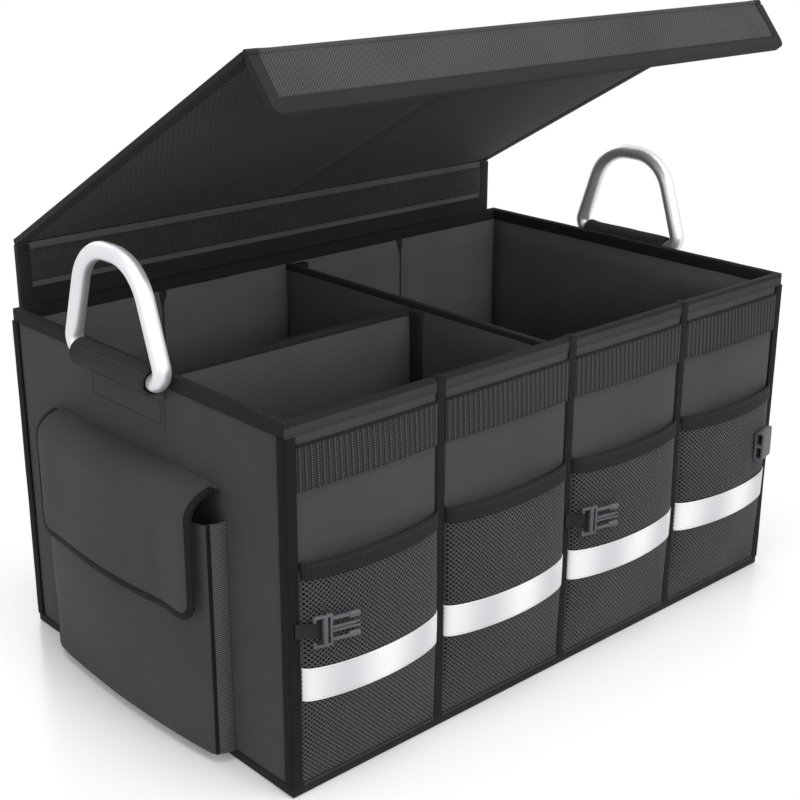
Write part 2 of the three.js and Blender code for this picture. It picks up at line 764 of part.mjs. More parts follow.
function addLid() {
  const rear = turnedGroup(0, lidFoldY, lidFoldHeight);
  const hanging = turnedGroup(0, 0, 0, rear);
  hanging.rotation.x = Math.PI / 2;
  const rearFlap = boundPlate(rearFlapHeight, rearFlapCorner, lidSideTape, rearFlapEdgeTape);
  addPart('lid_rear_flap', shellFabric, toGeometry(rearFlap.board), hanging);
  addPart('lid_rear_flap_binding', bindingTape, toGeometry(rearFlap.tape), hanging);
  const stripFace = lidBoardThickness / 2 + seatGap;
  addPart('lid_hook_strip', hookTape, block(
    -hookStripHalf, hookStripHalf, -hookStripDrop - hookStripHeight, -hookStripDrop,
    stripFace, stripFace + hookStripThickness,
  ), hanging);
  foldRoll('lid_rear_fold', rear);

  const panel = turnedGroup(0, 0, 0, rear);
  panel.rotation.x = -radians(lidOpenAngle);
  const half = lidBoardThickness / 2;
  const far = lidPanelWidth - lidFoldGap;
  const inset = lidHalfLength - lidTape - seatGap;
  let board = toSolid(block(-inset, inset, -far, -lidFoldGap, -half, half));
  for (const face of [-half, half]) {
    board = board.subtract(toSolid(block(
      -lidCreaseWidth / 2, lidCreaseWidth / 2, -far - 1, 0, face - lidCreaseDepth, face + lidCreaseDepth,
    )));
  }
  addPart('lid_panel', shellFabric, toGeometry(board), panel);
  for (const side of [-1, 1]) {
    const outer = half + lidTape;
    const gap = half + seatGap;
    const edge = lidHalfLength;
    const profile = outline([
      [edge - lidSideTape, gap], [edge - lidTape, gap], [edge - lidTape, -gap], [edge - lidSideTape, -gap],
      [edge - lidSideTape, -outer], [edge, -outer], [edge, outer], [edge - lidSideTape, outer],
    ].map(([x, z]) => [side * x, -z]));
    const tape = extruded(profile, far - lidFoldGap).rotateX(Math.PI / 2).translate(0, -lidFoldGap, 0);
    addPart(side < 0 ? 'lid_side_binding_left' : 'lid_side_binding_right', bindingTape, tape, panel);
  }

  const front = turnedGroup(0, -lidPanelWidth, 0, panel);
  front.rotation.x = radians(frontFlapBend);
  const frontFlap = boundPlate(frontFlapHeight, frontFlapCorner, frontFlapSideTape, frontFlapEdgeTape);
  addPart('lid_front_flap', shellFabric, toGeometry(frontFlap.board), front);
  addPart('lid_front_flap_binding', bindingTape, toGeometry(frontFlap.tape), front);
  foldRoll('lid_front_fold', front);

  const loopTop = rimSkirtBottom - seatGap;
  addPart('lid_loop_strip', hookTape, block(
    -hookStripHalf, hookStripHalf, halfWidth, halfWidth + loopStripThickness,
    loopTop - loopStripHeight, loopTop,
  ));
}

addWalls();
addBindings();
addFrontTrim();
addInterior();
addBuckles();
addHandles();
addSidePocket();
addSideFlap();
addLid();

export default organizer;
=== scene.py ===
import math
import bmesh
import bpy
from mathutils import Matrix, Vector, noise


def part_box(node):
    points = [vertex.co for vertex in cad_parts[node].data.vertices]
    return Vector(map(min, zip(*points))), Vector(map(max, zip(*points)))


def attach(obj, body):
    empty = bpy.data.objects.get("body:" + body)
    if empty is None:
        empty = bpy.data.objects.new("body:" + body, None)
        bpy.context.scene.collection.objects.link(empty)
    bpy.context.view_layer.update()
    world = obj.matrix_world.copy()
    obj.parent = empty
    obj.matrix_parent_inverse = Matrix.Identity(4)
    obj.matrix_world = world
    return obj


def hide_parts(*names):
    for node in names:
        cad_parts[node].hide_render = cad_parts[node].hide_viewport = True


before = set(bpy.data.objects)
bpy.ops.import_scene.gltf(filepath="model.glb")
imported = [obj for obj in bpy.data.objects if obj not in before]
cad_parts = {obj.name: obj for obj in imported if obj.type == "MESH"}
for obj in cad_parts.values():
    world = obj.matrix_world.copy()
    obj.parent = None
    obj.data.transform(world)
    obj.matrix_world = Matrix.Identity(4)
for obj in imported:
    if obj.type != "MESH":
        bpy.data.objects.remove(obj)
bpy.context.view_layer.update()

mm = 0.001


def inMm(**sizes):
    return {name: size * mm for name, size in sizes.items()}


# camera
camera = {"place": (-0.8822, -0.9424, 0.6697), "turn": (69.94, -0.19, -42.48), "lens": 66.05}
cameraData = bpy.data.cameras.new("camera")
cameraData.lens = camera["lens"]
cameraData.sensor_width = 36
cameraObject = bpy.data.objects.new("camera", cameraData)
cameraObject.location = camera["place"]
cameraObject.rotation_euler = [math.radians(angle) for angle in camera["turn"]]
bpy.context.collection.objects.link(cameraObject)
bpy.context.scene.camera = cameraObject
print("camera ready")


# finishes
def tone(red, green, blue):
    # a colour as it reads on screen, 0 to 255, made linear for the shader
    def linear(value):
        value /= 255
        return value / 12.92 if value <= 0.04045 else ((value + 0.055) / 1.055) ** 2.4
    return (linear(red), linear(green), linear(blue), 1.0)


class Wire:
    # a shader value that sums and products can be written with
    def __init__(self, finish, socket):
        self.finish = finish
        self.socket = socket

    def __add__(self, other):
        return self.finish.math("ADD", self, other)

    def __radd__(self, other):
        return self.finish.math("ADD", other, self)

    def __sub__(self, other):
        return self.finish.math("SUBTRACT", self, other)

    def __rsub__(self, other):
        return self.finish.math("SUBTRACT", other, self)

    def __mul__(self, other):
        return self.finish.math("MULTIPLY", self, other)


class Finish:
    def __init__(self, name, **constants):
        self.material = bpy.data.materials.new(name)
        self.material.use_nodes = True
        self.tree = self.material.node_tree
        self.shader = self.tree.nodes["Principled BSDF"]
        for socketName, value in constants.items():
            self.shader.inputs[socketName.replace("_", " ")].default_value = value

    def node(self, kind, settings=None, inputs=None, output=0):
        made = self.tree.nodes.new(kind)
        for key, value in (settings or {}).items():
            setattr(made, key, value)
        for key, value in (inputs or {}).items():
            self.feed(made.inputs[key], value)
        return Wire(self, made.outputs[output])

    def feed(self, socket, value):
        if isinstance(value, Wire):
            self.tree.links.new(value.socket, socket)
        else:
            socket.default_value = value

    def math(self, operation, first, second=0.0):
        return self.node("ShaderNodeMath", {"operation": operation}, {0: first, 1: second})

    def wave(self, value, pitch):
        # 0 to 1 and back, once in each pitch
        return self.math("SINE", value * (2 * math.pi / pitch)) * 0.5 + 0.5

    def clothPlace(self):
        place = self.node("ShaderNodeUVMap", {"uv_map": "cloth"})
        across = self.node("ShaderNodeSeparateXYZ", None, {0: place}, 0)
        along = self.node("ShaderNodeSeparateXYZ", None, {0: place}, 1)
        return across, along

    def clouds(self, scale, detail=2.0):
        place = self.node("ShaderNodeTexCoord", output=3)
        return self.node("ShaderNodeTexNoise", None, {"Vector": place, "Scale": scale, "Detail": detail})

    def between(self, factor, low, high):
        return self.node("ShaderNodeMix", {"data_type": "RGBA"}, {0: factor, 6: low, 7: high}, 2)

    def finishWith(self, color, roughness, height, depth, strength):
        bump = self.node("ShaderNodeBump", None, {"Strength": strength, "Distance": depth, "Height": height})
        for socketName, value in (("Base Color", color), ("Roughness", roughness), ("Normal", bump)):
            self.feed(self.shader.inputs[socketName], value)
        return self.material


# weave patterns, each from 0 in the valleys to 1 on the yarns
def twillYarns(finish, across, along, pitch):
    ridge = finish.wave(across + along, pitch)
    return ridge * (finish.wave(across - along, pitch * 0.5) * 0.35 + 0.65)


def dotYarns(finish, across, along, pitch):
    return finish.wave(across + along, pitch) * finish.wave(across - along, pitch)


def plainYarns(finish, across, along, pitch):
    return finish.wave(across, pitch) * 0.5 + finish.wave(along, pitch) * 0.5


def ribYarns(finish, across, along, pitch):
    return finish.wave(across, pitch) * 0.8 + finish.wave(along, pitch * 0.6) * 0.2


def levelRibYarns(finish, across, along, pitch):
    return ribYarns(finish, along, across, pitch)


def bandYarns(finish, across, along, pitch):
    # broad webbing ribs: smooth grooves, and two columns of dashes on each ridge
    rib = finish.wave(across - pitch / 4, pitch) * 0.45 + 0.55
    dashes = finish.wave(along + across * 0.5, 1.9 * mm) * finish.wave(across + pitch / 8, pitch * 0.5)
    return rib * (dashes * 0.85 + 0.05)


def slantYarns(finish, across, along, pitch):
    return finish.wave(along + across * 0.6, pitch)


def longYarns(finish, across, along, pitch):
    # broken ribs that run from the front of the lid to its back
    return finish.wave(across, pitch) * (finish.wave(along + across * 0.7, pitch * 2.6) * 0.6 + 0.4)


def hookYarns(finish, across, along, pitch):
    crumbs = finish.clouds(420.0, 3.0)
    return crumbs * 0.5 + dotYarns(finish, across, along, pitch) * 0.5


def cloth(name, base, dark, light, **changes):
    # dark and light are the tones in the valleys of the weave and on its yarns
    look = {**plainLook, **base, **changes}
    finish = Finish(name, Specular_IOR_Level=look["gloss"], Sheen_Weight=look["sheen"], Sheen_Roughness=0.5)
    across, along = finish.clothPlace()
    yarns = look["yarns"](finish, across, along, look["pitch"])
    mottle = finish.clouds(14.0) * look["mottle"]
    color = finish.between(yarns * look["contrast"] + mottle * 0.4, tone(*dark), tone(*light))
    return finish.finishWith(color, look["roughness"] - yarns * 0.12, yarns, look["depth"], 0.6)


plainLook = {"yarns": plainYarns, "pitch": 0.7 * mm, "depth": 0.25 * mm, "contrast": 0.7, "mottle": 0.5,
             "roughness": 0.8, "gloss": 0.12, "sheen": 0.05}
shellLook = {"yarns": twillYarns, "pitch": 2.1 * mm, "contrast": 0.85}
liningLook = {**shellLook, "pitch": 2.5 * mm}
tapeLook = {"yarns": ribYarns, "pitch": 1.5 * mm, "depth": 0.15 * mm, "gloss": 0.08, "sheen": 0.02}
bandLook = {"yarns": bandYarns, "pitch": 5.3 * mm, "contrast": 0.9, "mottle": 0.2}
lidLook = {"yarns": longYarns, "pitch": 3.4 * mm, "contrast": 1.0, "mottle": 0.2}
hookLook = {"yarns": hookYarns, "pitch": 2.8 * mm, "contrast": 1.0, "depth": 0.6 * mm, "roughness": 0.95}
gussetLook = {"yarns": slantYarns, "pitch": 1.9 * mm, "contrast": 0.85, "depth": 0.3 * mm}
threadLook = {"depth": 0.1 * mm}
finishes = {
    "front": cloth("front cloth", shellLook, (32, 32, 32), (80, 80, 82)),
    # a darker cloth: painted shade on the front wall behind the nets, and the own dark colour of the rear
    # seam strips
    "seamClothAndPaintedShade": cloth("dark seam cloth and painted shade behind the net", shellLook, (18, 18, 19), (48, 49, 50)),
    "shell": cloth("shell cloth", shellLook, (29, 30, 32), (80, 81, 84)),
    "lining": cloth("lining cloth", liningLook, (40, 40, 41), (116, 117, 118)),
    "divider": cloth("divider cloth", liningLook, (32, 32, 33), (98, 99, 100)),
    "lid": cloth("lid cloth", lidLook, (1, 1, 2), (66, 67, 68)),
    "lidRear": cloth("lid rear cloth", shellLook, (34, 34, 35), (118, 119, 120), pitch=2.2 * mm),
    "lidFront": cloth("lid front cloth", {"yarns": dotYarns}, (26, 27, 28), (98, 99, 101), pitch=2.6 * mm),
    "tape": cloth("binding tape", tapeLook, (10, 10, 11), (46, 46, 49)),
    "rimFront": cloth("front rim tape", tapeLook, (15, 15, 16), (66, 66, 68), contrast=0.9),
    "uprightTape": cloth("upright binding tape", tapeLook, (7, 7, 8), (32, 32, 34), yarns=levelRibYarns),
    "seamTape": cloth("seam tape", tapeLook, (8, 8, 9), (38, 38, 40)),
    "lidTape": cloth("lid binding tape", tapeLook, (16, 16, 17), (54, 54, 56), pitch=1.2 * mm),
    "sleeve": cloth("sleeve cloth", tapeLook, (16, 16, 17), (68, 69, 72), pitch=1.7 * mm),
    "webbing": cloth("ribbed webbing", bandLook, (7, 7, 8), (88, 88, 91)),
    "net": cloth("pocket net", threadLook, (42, 43, 45), (84, 86, 88), pitch=0.9 * mm),
    "hook": cloth("hook strip", hookLook, (8, 8, 7), (78, 76, 74)),
    "gusset": cloth("gusset twill", gussetLook, (7, 7, 8), (98, 98, 99)),
    "thread": cloth("dark thread", threadLook, (12, 12, 13), (38, 38, 40)),
    "greyThread": cloth("grey thread", threadLook, (54, 54, 56), (96, 96, 99)),
    "paleThread": cloth("pale thread", threadLook, (150, 150, 150), (196, 196, 198)),
}


def reflectiveFinish():
    finish = Finish("reflective tape", Specular_IOR_Level=0.5)
    across, along = finish.clothPlace()
    beads = finish.wave(across, 0.8 * mm) * finish.wave(along, 0.8 * mm)
    haze = finish.clouds(22.0)
    # painted highlight: the tape's colour is lighter in a soft band that repeats every 76 mm across it
    paintedHighlight = finish.wave(across + 12 * mm, 76 * mm)
    color = finish.between(paintedHighlight * 0.75 + haze * 0.15 + beads * 0.1, tone(182, 183, 186), tone(228, 228, 230))
    return finish.finishWith(color, 0.38 + haze * 0.12, beads, 0.05 * mm, 0.3)


def aluminiumFinish():
    finish = Finish("satin aluminium", Metallic=0.78)
    grain = finish.clouds(260.0, 4.0)
    haze = finish.clouds(9.0)
    color = finish.between(haze * 0.5 + grain * 0.2, tone(216, 218, 221), tone(244, 245, 247))
    return finish.finishWith(color, 0.36 + grain * 0.1, grain, 0.03 * mm, 0.3)


def plasticFinish():
    finish = Finish("buckle plastic", Specular_IOR_Level=0.4)
    grain = finish.clouds(1400.0, 3.0)
    haze = finish.clouds(40.0)
    color = finish.between(haze * 0.7, tone(56, 58, 61), tone(92, 94, 98))
    return finish.finishWith(color, 0.42 + grain * 0.15, grain, 0.05 * mm, 0.35)


finishes["reflective"] = reflectiveFinish()
finishes["aluminium"] = aluminiumFinish()
finishes["plastic"] = plasticFinish()
print("finishes ready")


# mesh helpers
def layCloth(bm):
    # UVs in metres, laid once: each face takes the two directions that it lies in
    if bm.loops.layers.uv.get("cloth"):
        return bm
    layer = bm.loops.layers.uv.new("cloth")
    for face in bm.faces:
        normal = face.normal
        x, y, z = abs(normal.x), abs(normal.y), abs(normal.z)
        for loop in face.loops:
            place = loop.vert.co
            if x >= y and x >= z:
                loop[layer].uv = (place.y, place.z)
            elif y >= z:
                loop[layer].uv = (place.x, place.z)
            else:
                loop[layer].uv = (place.x, place.y)
    return bm


def piece(bm, name, finish, body="box", nodes=(), angle=40, placed=None):
    # hands a mesh over as a piece of a body, in the place of the CAD nodes that it dresses
    layCloth(bm)
    if placed:
        bm.transform(placed)
    mesh = bpy.data.meshes.new(name)
    bm.to_mesh(mesh)
    bm.free()
    for face in mesh.polygons:
        face.use_smooth = True
    mesh.set_sharp_from_angle(angle=math.radians(angle))
    made = bpy.data.objects.new(name, mesh)
    bpy.context.collection.objects.link(made)
    mesh.materials.append(finishes[finish])
    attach(made, body)
    if nodes:
        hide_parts(*nodes)
    return made


def paint(made, finish, chosen):
    # some faces of a piece take another finish
    made.data.materials.append(finishes[finish])
    for face in made.data.polygons:
        if chosen(face):
            face.material_index = len(made.data.materials) - 1


def slab(low, high, cuts=(0, 0, 0)):
    # a box between two corners, with its sides cut into rows
    bm = bmesh.new()
    bmesh.ops.create_cube(bm, size=1)
    bmesh.ops.scale(bm, vec=Vector(high) - Vector(low), verts=bm.verts)
    bmesh.ops.translate(bm, vec=(Vector(high) + Vector(low)) / 2, verts=bm.verts)
    for axis in range(3):
        if cuts[axis]:
            along = [e for e in bm.edges if abs((e.verts[0].co - e.verts[1].co).normalized()[axis]) > 0.9]
            bmesh.ops.subdivide_edges(bm, edges=along, cuts=cuts[axis], use_grid_fill=True)
    return bm


def faceOut(bm):
    bmesh.ops.recalc_face_normals(bm, faces=bm.faces)


def spread(start, end, count):
    return [start + (end - start) * i / count for i in range(count + 1)]


def ring(bm, points):
    # a closed loop of edges through the points
    verts = [bm.verts.new(point) for point in points]
    return [bm.edges.new((verts[n], verts[(n + 1) % len(verts)])) for n in range(len(verts))]


def runAlong(bm, edges, way, steps):
    # draws a loop of edges along, in even steps
    step = Vector(way) / steps
    for _ in range(steps):
        made = bmesh.ops.extrude_edge_only(bm, edges=edges)["geom"]
        fresh = {g for g in made if isinstance(g, bmesh.types.BMVert)}
        bmesh.ops.translate(bm, vec=step, verts=[g for g in made if g in fresh])
        edges = [g for g in made if isinstance(g, bmesh.types.BMEdge) and fresh.issuperset(g.verts)]
    return edges


def turnAlong(bm, edges, centre, angle, steps):
    # draws a loop of edges round an axis that lies along x
    verts = list({v for e in edges for v in e.verts})
    made = bmesh.ops.spin(bm, geom=edges + verts, cent=centre, axis=(1, 0, 0), angle=angle, steps=steps,
                          use_merge=False, use_duplicate=False)
    return [g for g in made["geom_last"] if isinstance(g, bmesh.types.BMEdge)]


def soften(bm, width, segments=2, edges=None):
    # rounds the given edges, or every edge that turns by more than 30 degrees
    chosen = edges or [e for e in bm.edges if len(e.link_faces) == 2 and e.calc_face_angle(0) > math.pi / 6]
    bmesh.ops.bevel(bm, geom=chosen, offset=width, offset_type="OFFSET", segments=segments, profile=0.5,
                    affect="EDGES", material=-1, clamp_overlap=True)
    return bm


def fromNode(node, turned=None):
    # a merged copy of a node of the frame, laid back flat where it was turned
    bm = bmesh.new()
    bm.from_mesh(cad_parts[node].data)
    if turned:
        bm.transform(turned.inverted())
    bmesh.ops.remove_doubles(bm, verts=bm.verts, dist=0.01 * mm)
    bmesh.ops.dissolve_limit(bm, angle_limit=math.radians(1), verts=bm.verts, edges=bm.edges)
    return bm


def edgeRise(distance, roll):
    return math.sin(min(max(distance / roll, 0.0), 1.0) * math.pi / 2)


def pad(bm, low, high, axis, rises, roll, seams=()):
    # both faces of a board swell between its edges; seams are lines across the first direction
    crumple = 0.3 * mm
    others = [i for i in range(3) if i != axis]
    for v in bm.verts:
        side = 1 if v.co[axis] > (low[axis] + high[axis]) / 2 else 0
        rise = rises[side]
        if not rise:
            continue
        swell = 1.0
        for i in others:
            swell *= edgeRise(v.co[i] - low[i], roll) * edgeRise(high[i] - v.co[i], roll)
        for seam in seams:
            swell *= edgeRise(abs(v.co[others[0]] - seam), roll * 0.6)
        ripple = noise.noise(v.co * 18) + 0.5 * noise.noise(v.co * 47)
        v.co[axis] += (1 if side else -1) * (rise * swell + crumple * swell * ripple)
    return bm


stitchPile = {}


def sew(body, thread, points, outward=(0, -1, 0), pitch=3.2 * mm, length=2.2 * mm, thick=0.55 * mm):
    # a row of stitches along a line of points
    key = (body, thread)
    bm = stitchPile.setdefault(key, bmesh.new())
    outward = Vector(outward).normalized()
    left = pitch / 2
    for start, end in zip(points, points[1:]):
        start, end = Vector(start), Vector(end)
        span = (end - start).length
        if span < 1e-7:
            continue
        way = (end - start) / span
        across = outward.cross(way).normalized()
        while left < span:
            middle = start + way * left
            turned = Matrix((way, across, way.cross(across))).transposed().to_4x4()
            shape = Matrix.Diagonal((length / 2, thick / 2, thick / 2, 1))
            bmesh.ops.create_icosphere(bm, subdivisions=1, radius=1,
                                       matrix=Matrix.Translation(middle) @ turned @ shape)
            left += pitch
        left -= span


# front of the box: bays, webbing, pockets and reflective tapes
nodeBox = {name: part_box(name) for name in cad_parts}
box = inMm(halfX=300, halfY=190, top=304, wall=5)
front = {"plane": -box["halfY"], "skirt": nodeBox["rim_binding"][0].z, "mouth": nodeBox["pocket_hem_1"][1].z,
         "round": 0.5, **inMm(foot=8, pocketFoot=8.3, wallBelly=6, lip=8, belly=4, gap=0.68, meshThick=1.5)}
bays = [(nodeBox[f"mesh_pocket_{i}"][0].x, nodeBox[f"mesh_pocket_{i}"][1].x) for i in range(1, 5)]


def bayRise(x):
    for left, right in bays:
        if left <= x <= right:
            return max(0.0, math.sin(math.pi * (x - left) / (right - left))) ** front["round"]
    return 0.0


def smoothStep(value):
    value = min(max(value, 0.0), 1.0)
    return value * value * (3 - 2 * value)


def wallOut(x, z):
    up = (z - front["foot"]) / (front["skirt"] - front["foot"])
    if not 0 < up < 1:
        return 0.0
    return front["wallBelly"] * bayRise(x) * math.sin(math.pi * up) ** 0.7


def pocketOut(x, z):
    up = min(max((z - front["pocketFoot"]) / (front["mouth"] - front["pocketFoot"]), 0.0), 1.0)
    rise = front["lip"] * smoothStep(2 * up) + front["belly"] * math.sin(math.pi * up)
    return wallOut(x, z) + front["gap"] + bayRise(x) * rise


def wrapFront(bm, outAt):
    # pieces are made flat with their backs at y = 0, and pushed out to the cloth behind them
    layCloth(bm)
    for v in bm.verts:
        v.co.y += front["plane"] - outAt(v.co.x, v.co.z)
    return bm


def frontPanel():
    look = {"columns": 151, "rows": 60, "innerPuff": 4 * mm}
    low, high = nodeBox["front_wall"]
    bm = slab((low.x, front["plane"], low.z), (high.x, front["plane"] + box["wall"], high.z),
              (look["columns"], 0, look["rows"]))
    for v in bm.verts:
        if v.co.y < front["plane"] + box["wall"] / 2:
            gather = noise.noise(Vector((v.co.x * 30, 0, v.co.z * 16)))
            out = wallOut(v.co.x, v.co.z)
            v.co.y -= out + 0.5 * mm * gather * min(out / (2 * mm), 1)
        else:
            rise = edgeRise(v.co.z - 6 * mm, 30 * mm) * edgeRise(front["skirt"] - v.co.z, 22 * mm)
            v.co.y += look["innerPuff"] * rise * (0.3 + 0.7 * bayRise(v.co.x))
    made = piece(bm, "front_panel", "front", "box", ["front_wall"])
    paint(made, "lining", lambda face: face.normal.y > 0.3)
    # the front wall below the pocket mouths takes a darker cloth, as painted shade behind the nets
    paintedShadeTop = front["mouth"] - 8 * mm
    paint(made, "seamClothAndPaintedShade", lambda face: face.normal.y <= 0.3 and face.center.z < paintedShadeTop)


def webbingBand(i):
    left, right = bays[i]
    low, high = nodeBox[f"webbing_band_{i + 1}"]
    ribs = {"count": 26, "rise": 0.5 * mm, "thick": 1.4 * mm, "pitch": 5.3 * mm}
    bm = slab((left, -ribs["thick"], low.z), (right, 0, high.z), (ribs["count"] * 6 - 1, 0, 5))
    layer = layCloth(bm).loops.layers.uv["cloth"]
    for face in bm.faces:
        for loop in face.loops:
            turn = (loop.vert.co.x - left) / (right - left) * ribs["count"]
            if abs(face.normal.x) < 0.5:
                loop[layer].uv.x = turn * ribs["pitch"]
    for v in bm.verts:
        if v.co.y < -0.5 * mm:
            turn = (v.co.x - left) / (right - left) * ribs["count"]
            v.co.y -= ribs["rise"] * (0.5 - 0.5 * math.cos(2 * math.pi * turn)) ** 0.6
    wrapFront(bm, lambda x, z: wallOut(x, z) + front["gap"])
    piece(bm, f"webbing_{i + 1}", "webbing", "box", [f"webbing_band_{i + 1}"])
    edge = slab((left, -2.1 * mm, high.z - 1.2 * mm), (right, 0, high.z + 0.5 * mm), (40, 0, 0))
    wrapFront(edge, lambda x, z: wallOut(x, z) + front["gap"])
    piece(edge, f"webbing_edge_{i + 1}", "seamTape", "box")
    line = [(x, front["plane"] - wallOut(x, low.z) - front["gap"] - 2.0 * mm, low.z + 1.5 * mm)
            for x in spread(left, right, 30)]
    sew("box", "thread", line)


net = inMm(cell=2.85, strand=0.5, thick=0.8)


def pocketNet(i):
    left, right = bays[i]
    low, high = front["pocketFoot"], front["mouth"] - 6 * mm
    width, height = right - left, high - low
    count = math.ceil((width + height) / math.sqrt(2) / net["cell"])
    bm = bmesh.new()
    bmesh.ops.create_grid(bm, x_segments=count, y_segments=count, size=count * net["cell"] / 2)
    middle = Matrix.Translation(((left + right) / 2, 0, (low + high) / 2))
    bm.transform(middle @ Matrix.Rotation(math.pi / 2, 4, "X") @ Matrix.Rotation(math.pi / 4, 4, "Z"))
    for place, way in (((left, 0, 0), (-1, 0, 0)), ((right, 0, 0), (1, 0, 0)),
                       ((0, 0, low), (0, 0, -1)), ((0, 0, high), (0, 0, 1))):
        bmesh.ops.bisect_plane(bm, geom=bm.verts[:] + bm.edges[:] + bm.faces[:], dist=1e-6,
                               plane_co=place, plane_no=way, clear_outer=True)
    cells = [f for f in bm.faces if f.calc_area() > 0.6 * net["cell"] ** 2]
    bmesh.ops.inset_individual(bm, faces=cells, thickness=net["strand"], use_even_offset=True)
    bmesh.ops.delete(bm, geom=cells, context="FACES")
    for v in bm.verts:
        edge = min(v.co.x - left, right - v.co.x, v.co.z - low)
        v.co.y -= 0.6 * mm * noise.noise(v.co * 24) * edgeRise(edge, 12 * mm)
    wrapFront(bm, pocketOut)
    made = piece(bm, f"pocket_net_{i + 1}", "net", "box", [f"mesh_pocket_{i + 1}"], angle=80)
    thick = made.modifiers.new("thickness", "SOLIDIFY")
    thick.thickness = net["thick"]
    thick.offset = 1


def pocketHem(i):
    left, right = bays[i]
    low, high = nodeBox[f"pocket_hem_{i + 1}"]
    hem = inMm(thick=2.2, edge=0.7, stitchInset=3.2)
    bm = slab((left, -hem["thick"], low.z), (right, 0, high.z), (47, 0, 3))
    soften(bm, hem["edge"])
    wrapFront(bm, pocketOut)
    piece(bm, f"hem_{i + 1}", "tape", nodes=[f"pocket_hem_{i + 1}"])
    z, face = high.z - hem["stitchInset"], front["plane"] - hem["thick"] - 0.05 * mm
    line = [(x, face - pocketOut(x, z), z) for x in spread(left, right, 40)]
    sew("box", "greyThread", line, pitch=2.8 * mm, length=1.5 * mm, thick=0.45 * mm)


def reflectiveStrip(i):
    left, right = bays[i]
    low, high = nodeBox[f"reflective_tape_{i + 1}"]
    strip = inMm(thick=0.8, edge=0.3, stitchInset=1.8)

    def outAt(x, z):
        return pocketOut(x, z) + front["meshThick"] - 0.3 * mm
    bm = slab((left, -strip["thick"], low.z), (right, 0, high.z), (59, 0, 8))
    soften(bm, strip["edge"])
    wrapFront(bm, outAt)
    piece(bm, f"reflective_{i + 1}", "reflective", "box", [f"reflective_tape_{i + 1}"])
    for z in (low.z + strip["stitchInset"], high.z - strip["stitchInset"]):
        line = [(x, front["plane"] - outAt(x, z) - strip["thick"], z) for x in spread(left, right, 40)]
        sew("box", "paleThread", line, pitch=3 * mm, thick=0.4 * mm)


def seamTape(i):
    # one length of tape runs up the seam, over the rim and a little way down inside
    x = (bays[i - 1][1] + bays[i][0]) / 2
    tape = inMm(half=4.5, out=2.4, rimTop=305.8, inside=7.4, thick=1.2)
    bm = slab((x - tape["half"], front["plane"] - tape["out"], front["foot"]),
              (x + tape["half"], front["plane"] - tape["out"] + tape["thick"], tape["rimTop"]), (5, 0, 40))
    over = slab((x - tape["half"], front["plane"] - tape["out"], tape["rimTop"] - tape["thick"]),
                (x + tape["half"], front["plane"] + tape["inside"], tape["rimTop"]), (5, 6, 0))
    down = slab((x - tape["half"], front["plane"] + tape["inside"] - tape["thick"], front["skirt"] - 4 * mm),
                (x + tape["half"], front["plane"] + tape["inside"], tape["rimTop"]), (5, 0, 6))
    joinInto(bm, over, down)
    for v in bm.verts:
        across = (v.co.x - x) / tape["half"]
        v.co.y += 0.7 * mm * across * across if v.co.y < front["plane"] else -0.5 * mm * across * across
        v.co.z -= 0.5 * mm * across * across if v.co.z > 300 * mm else 0
        if v.co.y < front["plane"]:
            v.co.y += 0.35 * mm * noise.noise(v.co * 40)
    piece(bm, f"seam_{i}", "seamTape", nodes=[f"front_seam_tape_{i}"])
    line = [(x - 3 * mm, front["plane"] - tape["out"] + 0.2 * mm, z)
            for z in (front["foot"] + 3 * mm, front["skirt"] + 6 * mm)]
    sew("box", "thread", line)
    sew("box", "thread", [(x + 3 * mm, y, z) for _, y, z in line])


def joinInto(bm, *others):
    # adds other bmeshes to the first
    for other in others:
        mesh = bpy.data.meshes.new("joined")
        other.to_mesh(mesh)
        other.free()
        bm.from_mesh(mesh)
        bpy.data.meshes.remove(mesh)
    return bm


def footPiping(i):
    # a thin welt along the foot of each pocket
    left, right = bays[i]
    foot = front["pocketFoot"]
    bm = slab((left, -1.2 * mm, foot + 0.2 * mm), (right, 0, foot + 2.4 * mm), (47, 0, 1))
    wrapFront(bm, lambda x, z: pocketOut(x, z) + front["meshThick"] - 0.6 * mm)
    piece(bm, f"foot_piping_{i + 1}", "rimFront")


frontPanel()
for bay in range(4):
    webbingBand(bay)
    pocketNet(bay)
    pocketHem(bay)
    reflectiveStrip(bay)
    footPiping(bay)
for seam in range(1, 4):
    seamTape(seam)
print("front ready")


# walls, base and bindings
def wallPanel(name, node, axis, rises, seams=()):
    low, high = nodeBox[node]
    bm = slab(low, high, [0 if i == axis else int((high[i] - low[i]) / (6 * mm)) for i in range(3)])
    pad(bm, low + Vector((0, 0, 4 * mm)), high - Vector((0, 0, 8 * mm)), axis, rises, 24 * mm, seams)
    return piece(bm, name, "lining", "box", [node])


def walls():
    # the outer face of each wall is another cloth than its lining
    inside, outside, seams = 6 * mm, 1.2 * mm, (-150 * mm, 0, 150 * mm)
    rear = wallPanel("rear_panel", "rear_wall", 1, (inside, 0), seams)
    left = wallPanel("left_panel", "left_end_wall", 0, (outside, inside))
    right = wallPanel("right_panel", "right_end_wall", 0, (inside, outside))
    paint(rear, "shell", lambda face: face.normal.y > 0.3)
    paint(left, "shell", lambda face: face.normal.x < -0.3)
    paint(right, "shell", lambda face: face.normal.x > 0.3)
    wallPanel("base_panel", "base_board", 2, (0, 0.8 * mm))
    for side in ("left", "right"):
        low, high = nodeBox[f"rear_seam_{side}"]
        bm = slab(low - Vector((0, 0.4 * mm, 0)), high, (4, 0, 40))
        soften(bm, 0.5 * mm)
        piece(bm, f"rear_seam_strip_{side}", "seamClothAndPaintedShade", nodes=[f"rear_seam_{side}"])


